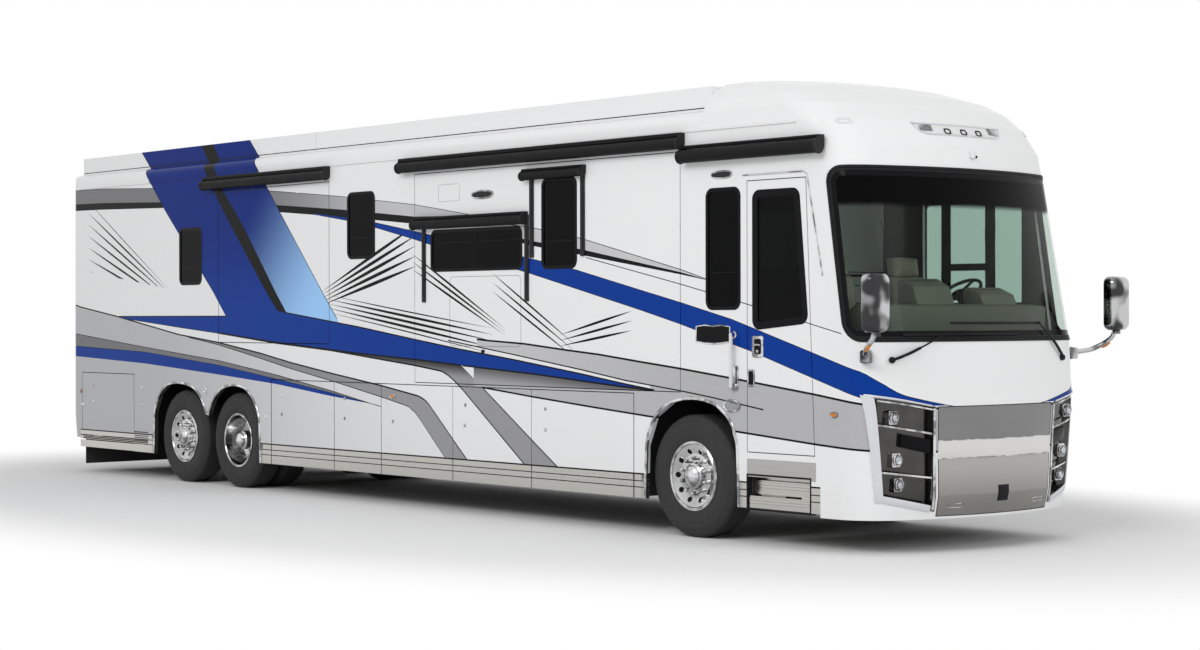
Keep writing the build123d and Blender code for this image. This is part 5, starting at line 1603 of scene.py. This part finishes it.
glasses = []
for side, side_name in sides:
    rows = []
    for x, inset in shell_rows:
        outline = rounded(box_outline(mirror_y[0] + inset, mirror_y[1] - inset, mirror_z[0] + inset,
                                      mirror_z[1] - inset),
                          0.060 - 0.4 * inset, 7)
        rows.append([Vector((x, side * y, z)) for y, z in outline])
    clamp_out = Vector((0.5, side * 0.866, 0.0))
    clamp_side = Vector((-0.866, side * 0.5, 0.0))
    clamp_rows = []
    for distance, inset in ((-0.03, 0.0), (0.030, 0.0), (0.034, 0.004), (0.074, 0.004), (0.082, 0.010)):
        outline = rounded(box_outline(-0.042 + inset, 0.042 - inset, -0.052 + inset, 0.052 - inset),
                          0.012, 3)
        clamp_rows.append([Vector((6.510, side * 1.236, 1.561)) + clamp_out * distance + clamp_side * u
                           + Vector((0, 0, v)) for u, v in outline])
    arm = bent([(6.555, side * 1.300, 1.572), (6.640, side * 1.390, 1.590), (6.720, side * 1.455, 1.640),
                (6.800, side * 1.476, 1.700), (6.836, side * 1.478, 1.800)])
    collar = turned([(0.034, 0.0), (0.036, 0.008), (0.034, 0.040), (0.026, 0.046)],
                    (6.836, side * 1.478, 1.722), (0.0, 0.0, 1.0), 24)
    head = piece("mirror_shell_" + side_name, [loft(rows), loft(clamp_rows), pipe(arm, 0.021, 16),
                                               collar],
                 shell_chrome, "coach", 40.0)
    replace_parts(head, "mirrors")

    def facing_back(u, v, lift, side=side):
        return Vector((6.784 - lift, side * u, v))
    rim = rounded(box_outline(mirror_y[0] + 0.008, mirror_y[1] - 0.008, mirror_z[0] + 0.008,
                              mirror_z[1] - 0.008), 0.055, 7)
    piece("mirror_rim_" + side_name, [
        ring(rim, grown(rim, -0.012), facing_back, -0.002, 0.005, 0.002),
        plate(box_outline(mirror_y[0] + 0.02, mirror_y[1] - 0.02, 1.905, 1.915), facing_back, 0.0, 0.004,
              0.001),
    ], trim_black, "coach")
    glasses.append(plate(grown(rim, -0.012), facing_back, -0.002, 0.002, 0.0005))
    piece("mirror_lamp_" + side_name, [pipe([(6.705, side * 1.452, 1.612), (6.735, side * 1.470, 1.628),
                                             (6.765, side * 1.476, 1.652)], 0.013, 12)], lamp,
          "coach")
piece("mirror_glasses", glasses, mirror_glass, "coach")
print("mirrors on both corners")

# %% Wipers
wiper_rows = [
    # pivot (y, z), elbow (y, z), blade from y to y, blade height
    ((-1.096, 1.534), (-0.640, 1.722), (-1.004, 0.258), 1.732),
    ((0.896, 1.532), (0.560, 1.820), (-0.516, 0.596), 1.822),
]
wiper_shapes = []
for pivot, elbow, (y0, y1), z in wiper_rows:
    wiper_shapes.append(turned([(0.026, -0.006), (0.026, 0.018), (0.022, 0.028), (0.012, 0.034),
                                (0.0002, 0.035)],
                               on_nose(*pivot, 0.0), on_nose(*pivot, 1.0) - on_nose(*pivot, 0.0), 22))
    arm_path = [on_nose(pivot[0] + (elbow[0] - pivot[0]) * t, pivot[1] + (elbow[1] - pivot[1]) * t,
                        0.022 + 0.010 * math.sin(math.pi * t)) for t in [n / 8 for n in range(9)]]
    wiper_shapes.append(pipe(arm_path[:5], 0.012, 10))
    wiper_shapes.append(pipe(arm_path[4:], 0.007, 10))
    wiper_shapes.append(pipe([on_nose(*elbow, 0.006), on_nose(*elbow, 0.030)], 0.013, 14))
    blade_line = [y0 + (y1 - y0) * n / 24 for n in range(25)]
    for low, high, lift0, lift1 in ((-0.004, 0.004, 0.0, 0.010), (-0.011, 0.009, 0.009, 0.017)):
        wiper_shapes.append(patch([[(y, z + low) for y in blade_line],
                                   [(y, z + high) for y in blade_line]],
                                  on_nose, lift0, lift1))
    spine = [on_nose(y, z, 0.017 + 0.012 * (1 - ((n - 12) / 6.0) ** 2) if 6 <= n <= 18 else 0.017)
             for n, y in enumerate(blade_line)]
    wiper_shapes.append(pipe(spine[5:20], 0.005, 8))
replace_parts(piece("wiper_arms", wiper_shapes, trim_black, "coach"), "wipers")
print("two wipers parked")

# %% [markdown]
# ## The entry door's fittings and the steps
# Beside the door are a white grab bar on chrome brackets and a black plaque
# with a bright border, left blank. The door has a pull handle in a chrome
# plate and a lock below. The folding steps have ribbed risers of bright
# steel between black sides.

# %% Door fittings
plaque = [(4.596, 1.670), (4.700, 1.657), (4.800, 1.653), (4.900, 1.657), (5.004, 1.670), (5.004, 1.790),
          (4.900, 1.800), (4.800, 1.792), (4.700, 1.800), (4.596, 1.790)]
piece("plaque_border", [ring(grown(plaque, 0.010), grown(plaque, -0.003), right, -0.001, 0.009, 0.003)],
      chrome, "coach")
piece("plaque_face", [plate(plaque, right, -0.001, 0.005, 0.001)], gloss_black, "coach")
handle_plate = rounded(box_outline(5.270, 5.402, 1.538, 1.718), 0.022, 5)
handle_hole = rounded(box_outline(5.296, 5.378, 1.570, 1.690), 0.016, 5)
lock_plate = rounded(box_outline(5.215, 5.300, 1.300, 1.440), 0.014, 4)
piece("door_handle_plate", [
    ring(handle_plate, handle_hole, right, -0.001, 0.008, 0.004),
    ring(lock_plate, grown(lock_plate, -0.014), right, -0.001, 0.008, 0.003),
    pipe([right(5.302, 1.640, 0.010), right(5.340, 1.646, 0.014), right(5.372, 1.640, 0.010)], 0.008,
         12),
    turned([(0.014, 0.0), (0.014, 0.010), (0.0002, 0.013)], right(5.3365, 1.590, 0.0), (0, -1, 0), 20),
], chrome, "entry_door")
piece("door_handle_recess", [
    plate(grown(handle_hole, 0.001), right, -0.001, 0.0015, 0.0005),
    plate(grown(lock_plate, -0.013), right, -0.001, 0.003, 0.001),
], gloss_black, "entry_door")
piece("grab_mounts", [
    turned([(0.030, 0.0), (0.030, 0.012), (0.022, 0.020), (0.018, 0.052), (0.0002, 0.056)],
           right(5.063, z, 0.0), (0, -1, 0), 24)
    for z in (1.725, 1.300)
] + [plate(rounded(box_outline(5.020, 5.106, 1.262, 1.468), 0.018, 4), right, -0.001, 0.010, 0.004)],
      chrome, "coach")
bar_white = plain_finish("bar_white", rgb(0.66, 0.66, 0.67), rgb(0.76, 0.76, 0.77), 0.25, 10.0, 0.0001,
                         0.0)
piece("grab_bar", [pipe([right(5.063, z, 0.046) for z in (1.290, 1.36, 1.50, 1.64, 1.735)], 0.016, 18)],
      bar_white, "coach")


def oval(x, z, half_x, half_z, steps=20):
    return [(x + half_x * math.cos(2 * math.pi * n / steps),
             z + half_z * math.sin(2 * math.pi * n / steps))
            for n in range(steps)]


# %% Lamps, latches and small covers on the sides
latch_rows = [
    # x, z, body
    (-1.971, 1.043, "baggage_door_right_1"), (-1.970, 0.842, "baggage_door_right_1"),
    (-1.030, 1.042, "baggage_door_right_1"), (-0.761, 1.042, "baggage_door_right_2"),
    (-0.761, 0.838, "baggage_door_right_2"), (0.105, 0.835, "baggage_door_right_3"),
    (1.318, 1.035, "baggage_door_right_4"), (1.308, 0.840, "baggage_door_right_4"),
    (2.544, 1.034, "baggage_door_right_5"), (2.545, 0.842, "baggage_door_right_5"),
    (-6.238, 1.041, "rear_service_door_right"), (-6.238, 0.862, "rear_service_door_right"),
    (-5.035, 1.055, "coach"), (-5.040, 0.852, "coach"),
]
latch_profile = [(0.017, 0.0), (0.017, 0.003), (0.013, 0.0055), (0.0002, 0.006)]
latches = {}
for x, z, body in latch_rows:
    shapes = latches.setdefault(body, [])
    shapes.append(turned(latch_profile, right(x, z, 0.0), (0, -1, 0), 18))
for number, (rear, front) in enumerate(zip(left_edges, left_edges[1:]), start=1):
    for x in (rear + 0.25, front - 0.25):
        latches.setdefault(f"baggage_door_left_{number}", []).append(
            turned(latch_profile, left(x, 0.94, 0.0), (0, 1, 0), 18))
for body, shapes in latches.items():
    piece("latches_" + body, shapes, chrome, body)
side_lamp_rows = [
    # name, body, x, z, half length, half height, chrome margin, finish
    ("courtesy_lamp", "coach", 5.027, 1.135, 0.092, 0.042, 0.012, clear_lens),
    ("mid_marker", "baggage_door_right_3", 0.104, 1.086, 0.040, 0.018, 0.006, lamp),
    ("front_marker", "coach", 6.200, 1.097, 0.040, 0.018, 0.007, lamp),
    ("rear_marker", "coach", -6.550, 0.978, 0.022, 0.018, 0.005, lamp),
    ("porch_lamp_rear", "slide_room_right_front", 1.594, 3.035, 0.165, 0.030, 0.012, clear_lens),
    ("porch_lamp_door", "coach", 4.908, 3.059, 0.120, 0.026, 0.010, clear_lens),
]
for name, body, x, z, half_x, half_z, margin, finish in side_lamp_rows:
    outline = oval(x, z, half_x, half_z, 28)
    piece(name + "_rim", [ring(grown(outline, margin), grown(outline, -0.003), right, -0.001, 0.010,
                               0.003)],
          chrome, body)
    piece(name, [plate(outline, right, -0.001, 0.007, 0.002)],
          (awning_grey if "porch" in name else finish),
          body)
cover_rows = [
    # body, x0, x1, z0, z1, corner radius, line width
    ("slide_room_right_front", 1.070, 2.180, 1.600, 2.260, 0.045, 0.003),
    ("slide_room_right_front", 0.888, 1.225, 2.993, 3.154, 0.020, 0.002),
]
for number, (body, x0, x1, z0, z1, radius, line) in enumerate(cover_rows):
    outline = rounded(box_outline(x0, x1, z0, z1), radius, 4)
    piece(f"cover_seam_{number + 1}", [ring(grown(outline, line), outline, right, -0.001, 0.0012,
                                            0.0004)],
          awning_grey, body)
piece("hatch_latch", [plate(rounded(box_outline(1.575, 1.625, 1.535, 1.565), 0.008, 3), right, -0.001,
                            0.008, 0.003)],
      gloss_black, "slide_room_right_front")
reflectors = [plate(rounded(box_outline(x - 0.035, x + 0.035, z - 0.014, z + 0.014), 0.006, 3), right,
                    -0.001, 0.006, 0.002)
              for x, z in ((-2.289, 0.807), (-6.520, 0.822))]
piece("side_reflectors", reflectors, bar_white, "coach")
vents = []
for number in range(5):
    z = 0.440 + number * 0.022
    vents.append(plate(box_outline(-5.215, -4.890, z, z + 0.010), right, -0.001, 0.004, 0.002))
piece("louvres_right", vents, trim_black, "coach")
round_badge = oval(-3.569, 1.060, 0.040, 0.040, 28)
piece("round_cap", [ring(round_badge, grown(round_badge, -0.012), right, -0.001, 0.008, 0.003),
                    plate(grown(round_badge, -0.011), right, -0.001, 0.004, 0.001)], chrome,
      "coach")

# %% Steps
step_rows = [(0.304, 0.430, 0.010), (0.430, 0.555, 0.072)]
risers = []
for low, high, inset in step_rows:
    place = on_side(-1)
    risers.append(plate(box_outline(5.224, 5.924, low + 0.006, high - 0.026), place, -inset - 0.010,
                        -inset - 0.003, 0.001))
    for share in (0.25, 0.5, 0.75):
        z = low + share * (high - 0.026 - low)
        risers.append(plate(box_outline(5.226, 5.922, z - 0.011, z + 0.011), place, -inset - 0.004,
                            -inset + 0.001, 0.0018))
piece("step_risers", risers, stainless, "entry_steps")
step_gap = box_outline(5.216, 5.932, 0.300, 0.568)
piece("step_surround", [ring(grown(step_gap, 0.022), step_gap, right, -0.060, 0.003, 0.002)],
      trim_black, "coach")
print("entry dressed")

# %% [markdown]
# ## Padded cab seats
# The two cab seats are upholstered: foam under stitched leather. Real
# cushions swell between their seams, so each pad starts as a slightly small
# rounded block, is remeshed finely and blown up as a cloth skin under a
# little pressure. How far a point moves is capped. The seams are pressed in
# after that, and the pads of both seats come from one simulation.

# %% Blowing up a pad
pad_voxel, pad_cap, sim_frames = 0.011, 0.022, 20
seam_reach, seam_width = 0.03, 0.010


def soft_block(x, y, z, corner, lean=0.0):
    """A rounded block between pairs of sizes, its top carried back by the lean."""
    rows = []
    low, high = z
    slim = min(1.0, (y[1] - y[0]) / 0.16, (x[1] - x[0]) / 0.12)
    for level, inset in ((0.0, 0.030), (0.02, 0.012), (0.06, 0.0), (0.94, 0.0), (0.98, 0.012),
                         (1.0, 0.030)):
        height = low + (high - low) * level
        shift = -lean * level
        inset *= slim
        outline = box_outline(x[0] + shift + inset, x[1] + shift - inset, y[0] + inset, y[1] - inset)
        outline = rounded(outline, corner * slim * 0.8, 6)
        rows.append([Vector((a, b, height)) for a, b in outline])
    return loft(rows)


def blown(name, shape, seams):
    """A mesh of a pad after remesh, cloth and seams. seams are (axis, place, depth)."""
    start = bpy.data.objects.new(name + "_start", outward_mesh(name, *shape))
    scene = bpy.context.scene
    scene.collection.objects.link(start)
    remesh = start.modifiers.new("voxels", "REMESH")
    remesh.mode = "VOXEL"
    remesh.voxel_size = pad_voxel
    graph = bpy.context.evaluated_depsgraph_get()
    fine = bpy.data.meshes.new_from_object(start.evaluated_get(graph))
    start.modifiers.clear()
    start.data = fine
    rest = [vertex.co.copy() for vertex in fine.vertices]
    moved = [point.copy() for point in rest]
    cloth_modifier = start.modifiers.new("swell", "CLOTH")
    settings = cloth_modifier.settings
    settings.use_pressure = True
    settings.uniform_pressure_force = 4.0
    settings.effector_weights.gravity = 0.0
    settings.quality = 4
    cloth_modifier.point_cache.frame_start = 1
    cloth_modifier.point_cache.frame_end = sim_frames
    for number in range(1, sim_frames + 1):
        scene.frame_set(number)
    graph = bpy.context.evaluated_depsgraph_get()
    swollen = start.evaluated_get(graph).to_mesh()
    for number, vertex in enumerate(swollen.vertices):
        change = vertex.co - rest[number]
        if change.length > pad_cap:
            change *= pad_cap / change.length
        moved[number] = rest[number] + change
    start.evaluated_get(graph).to_mesh_clear()
    start.modifiers.clear()
    scene.frame_set(1)
    normals = [vertex.normal.copy() for vertex in fine.vertices]
    for number, point in enumerate(moved):
        for axis, place, depth in seams:
            gap = abs(point[axis] - place)
            if gap < seam_reach:
                share = math.exp(-(gap / seam_width) ** 2)
                moved[number] = moved[number] - normals[number] * depth * share
    for vertex, point in zip(fine.vertices, moved):
        vertex.co = point
    for face in fine.polygons:
        face.use_smooth = True
    bpy.data.objects.remove(start)
    fine.name = name
    return fine


# x, y across and z of each pad about the seat's own place, then its seams
pad_rows = [
    # name, x, y, z, corner, lean, seams as (axis, place, depth)
    ("seat", (0.030, 0.500), (-0.235, 0.235), (1.655, 1.765), 0.07, 0.0,
     [(1, -0.14, 0.012), (1, 0.14, 0.012), (0, 0.39, 0.010)]),
    ("back", (0.015, 0.115), (-0.225, 0.225), (1.800, 2.240), 0.045, 0.085,
     [(1, -0.125, 0.012), (1, 0.125, 0.012), (2, 2.02, 0.010)]),
    ("head", (0.012, 0.110), (-0.165, 0.165), (2.225, 2.385), 0.045, 0.022,
     [(1, -0.08, 0.008), (1, 0.08, 0.008)]),
    ("arm", (0.080, 0.400), (-0.030, 0.030), (1.905, 1.965), 0.025, 0.0, []),
]
meshes = {}
for name, x, y, z, corner, lean, seams in pad_rows:
    meshes[name] = blown("pad_" + name, soft_block(x, y, z, corner, lean), seams)
    print("pad", name, len(meshes[name].vertices), "points")

# %% Two seats from the same pads
seat_rows = [("driver", 5.200, 0.650), ("passenger", 5.330, -0.380)]
head_shift, arm_shift = -0.085, 0.285
for seat_name, x, y in seat_rows:
    for pad_name in ("seat", "back", "head", "arm_left", "arm_right"):
        mesh = meshes[pad_name.split("_")[0]].copy()
        shift_x = x + (head_shift if pad_name == "head" else 0.0)
        shift_y = y + {"arm_left": arm_shift, "arm_right": -arm_shift}.get(pad_name, 0.0)
        mesh.transform(Matrix.Translation((shift_x, shift_y, 0.0)))
        mesh.materials.append(leather.material)
        cushion = bpy.data.objects.new(f"{seat_name}_{pad_name}", mesh)
        bpy.context.scene.collection.objects.link(cushion)
        smooth = cushion.modifiers.new("smooth", "SUBSURF")
        smooth.levels = smooth.render_levels = 1
        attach(cushion, "coach")
        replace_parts(cushion, "cab_seats")
    frame_shapes = []
    for side in (-1, 1):
        frame_shapes.append(pipe([(x + 0.03, y + side * 0.262, 1.90),
                                  (x + 0.10, y + side * 0.262, 1.90)], 0.016, 10))
    pedestal = box_outline(x + 0.10, x + 0.40, y - 0.17, y + 0.17)
    rows = [[Vector((a, b, z)) for a, b in rounded(pedestal, 0.03, 3)] for z in (1.245, 1.60, 1.640)]
    frame_shapes.append(loft(rows))
    piece(seat_name + "_seat_frame", frame_shapes, trim_black, "coach")
print("two cab seats")

# %% [markdown]
# ## Dashboard hoods
# Hoods stand over the gauges and the middle screen, seen through the
# windscreen. Both are pressings of one outline with a dark slot along the top
# for the demister.

# %% Hoods and demister slots
hood_rows = [
    # outline in (x, z), from y to y
    ([(6.060, 1.850), (6.300, 1.900), (6.230, 2.060), (6.080, 2.120), (6.030, 2.085)], 0.430, 0.870),
    ([(6.060, 1.850), (6.300, 1.900), (6.220, 2.120), (6.085, 2.190), (6.040, 2.150)], -0.390, 0.070),
]
hoods, slots = [], []
for outline, y0, y1 in hood_rows:
    soft = rounded(outline, 0.018, 4)
    rows = []
    for y, inset in ((y0, 0.018), (y0 + 0.006, 0.004), (y0 + 0.020, 0.0), (y1 - 0.020, 0.0),
                     (y1 - 0.006, 0.004), (y1, 0.018)):
        rows.append([Vector((x, y, z)) for x, z in grown(soft, -inset)])
    hoods.append(loft(rows))
    (xa, za), (xb, zb) = outline[2], outline[3]
    for number in range(9):
        y = y0 + 0.05 + number * (y1 - y0 - 0.13) / 8
        slots.append(loft([[Vector((xa + (xb - xa) * t, y + dy, za + (zb - za) * t + lift)) for dy,
                            lift in
                            ((0.0, -0.004), (0.030, -0.004), (0.030, 0.002),
                             (0.0, 0.002))] for t in (0.62, 0.70)]))
piece("dash_hoods", hoods, cab_plastic, "coach", 40.0)
piece("demister_slots", slots, trim_black, "coach")

# %% [markdown]
# ## The rear: lamps, louvres and a blank plate
# The rear cap carries three round lamps a side in bright rims, a louvred
# engine door and a recess for a plate, left blank. Small marker lamps sit at
# the corners of the roof.

# %% Rear of the coach
def tail_face(y, z, lift):
    return Vector((tail_x_at(y, z) - lift, y, z))


def tail_x_at(y, z):
    """The rear cap's own face, found by looking along the coach at that point."""
    for node_name in ("engine_door", "rear_cap"):
        hit, spot, _, _ = nodes[node_name].ray_cast(Vector((-9.0, y, z)), Vector((1.0, 0.0, 0.0)))
        if hit and spot.x < -6.3:
            return spot.x
    return -6.85


rims, lenses = [], []
for side in (-1, 1):
    for z in (1.120, 1.260, 1.400):
        spot = tail_face(side * 1.015, z, 0.0)
        rims.append(turned([(0.062, -0.010), (0.062, 0.006), (0.057, 0.012), (0.051, 0.010),
                            (0.050, 0.0)], spot, (-1, 0, 0), 40))
        lenses.append(turned([(0.051, -0.004), (0.051, 0.008), (0.042, 0.013), (0.024, 0.016),
                              (0.0002, 0.017)], spot, (-1, 0, 0), 36))
piece("tail_lamp_rims", rims, chrome, "coach")
piece("tail_lamps", lenses, lamp, "coach")
blades = []
for number in range(9):
    z = 0.880 + number * 0.048
    face = tail_x_at(0.0, z)
    slat = [(face + 0.004, z), (face - 0.012, z + 0.004), (face - 0.010, z + 0.010),
            (face + 0.004, z + 0.026)]
    blades.append(loft([[Vector((x, y, height)) for x, height in slat] for y in (-0.70, -0.35, 0.0, 0.35,
                                                                                 0.70)]))
piece("engine_louvres", blades, trim_black, "engine_door")
blank = rounded(box_outline(-0.160, 0.160, 1.420, 1.580), 0.012, 3)
piece("plate_recess", [ring(grown(blank, 0.016), grown(blank, -0.002), tail_face, -0.002, 0.007, 0.003)],
      chrome, "engine_door")
piece("blank_plate", [plate(blank, tail_face, -0.002, 0.002, 0.0005)], plate_white,
      "engine_door")
print("rear dressed, tail at x", round(tail_x_at(0.0, 1.3), 3))

# %% [markdown]
# ## Roof seams and tail vents
# A black sealing strip closes the joint where the roof panel sits on the side
# walls, and another runs along the foot of each roof awning case. Low at the
# tail a dark vented strip lets the engine bay breathe. On the real body these
# are rubber extrusions and a pressed grille; here each is a thin flat plate.

# %% Seams and vents
seam_wide = 0.008
wall_top, case_foot, case_side = 3.452, 3.640, 1.170
vent_rows = [(0.406, 0.419), (0.425, 0.438)]
seams = []
for side in (-1, 1):
    place = on_side(side)
    to_case = case_side - half_body
    seams.append(plate(box_outline(-6.560, 4.640, wall_top, wall_top + seam_wide), place,
                       -0.001, 0.0022, 0.0005))
    seams.append(plate(box_outline(-6.690, 4.650, case_foot, case_foot + seam_wide), place,
                       to_case - 0.001, to_case + 0.0022, 0.0005))
    for low, high in vent_rows:
        seams.append(plate(box_outline(-6.500, -4.900, low, high), place, 0.0020, 0.0042, 0.0005))
piece("roof_seams", seams, gloss_black, "coach")
print("roof seams and tail vents:", len(seams), "strips")

# %% [markdown]
# ## Floor and light
# A pale floor and a plain white surround, lit by one very large soft lamp
# high on the camera's side and an even sky. The floor turns to pure white a
# little way out, so it has no horizon, and keeps the soft shadow underneath.

# %% Floor
floor_mesh = bpy.data.meshes.new("studio_floor")
reach = 120.0
floor_mesh.from_pydata([(-reach, -reach, -0.001), (reach, -reach, -0.001),
                        (reach, reach, -0.001), (-reach, reach, -0.001)], [], [(0, 1, 2, 3)])
floor = bpy.data.objects.new("studio_floor", floor_mesh)
bpy.context.scene.collection.objects.link(floor)
ground = new_material("studio_floor", Roughness=0.9, Specular_IOR_Level=0.0)
ground.shader.inputs["Base Color"].default_value = rgb(0.86, 0.86, 0.86)
spread = ground.node("ShaderNodeVectorMath", operation="MULTIPLY")
ground.feed(spread.inputs[0], ground.place)
spread.inputs[1].default_value = (1 / 10.0, 1 / 5.5, 0.0)
reached = ground.node("ShaderNodeVectorMath", operation="LENGTH")
ground.feed(reached.inputs[0], spread.outputs[0])
far_out = ground.ramp(reached.outputs["Value"], 0.75, 1.15)
rays = ground.node("ShaderNodeLightPath")
seen = ground.math("MAXIMUM", rays.outputs["Is Camera Ray"],
                   ground.math("MAXIMUM", rays.outputs["Is Glossy Ray"],
                               rays.outputs["Is Transmission Ray"]))
glow = ground.node("ShaderNodeEmission")
blended = ground.node("ShaderNodeMixShader")
ground.feed(blended.inputs[0], ground.math("MULTIPLY", far_out, seen))
ground.tree.links.new(ground.shader.outputs[0], blended.inputs[1])
ground.tree.links.new(glow.outputs[0], blended.inputs[2])
ground.tree.links.new(blended.outputs[0], ground.tree.nodes["Material Output"].inputs["Surface"])
floor.data.materials.append(ground.material)

# %% Lamps and sky
world = bpy.data.worlds.new("studio_sky")
bpy.context.scene.world = world
world.use_nodes = True
sky = Net(world.node_tree)
background = world.node_tree.nodes["Background"]
background.inputs["Color"].default_value = rgb(1.0, 1.0, 1.0)
rays = sky.node("ShaderNodeLightPath")
seen = sky.math("MAXIMUM", rays.outputs["Is Camera Ray"],
                sky.math("MAXIMUM", rays.outputs["Is Glossy Ray"],
                         rays.outputs["Is Transmission Ray"]))
sky_level = 0.62
sky.feed(background.inputs["Strength"], sky.math("MULTIPLY_ADD", seen, 1.0 - sky_level, sky_level))


def soft_lamp(name, spot, target, size, power):
    data = bpy.data.lights.new(name, "AREA")
    data.shape = "RECTANGLE"
    data.size, data.size_y = size
    data.energy = power
    made = bpy.data.objects.new(name, data)
    made.location = spot
    made.rotation_mode = "QUATERNION"
    made.rotation_quaternion = (Vector(target) - Vector(spot)).to_track_quat("-Z", "Y")
    bpy.context.scene.collection.objects.link(made)
    return made


soft_lamp("key_lamp", (8.0, -20.0, 14.0), (0.0, 0.0, 1.8), (16.0, 8.0), 1950.0)
soft_lamp("front_lamp", (24.0, 2.0, 9.0), (4.0, 0.0, 1.8), (9.0, 7.0), 900.0).visible_glossy = False
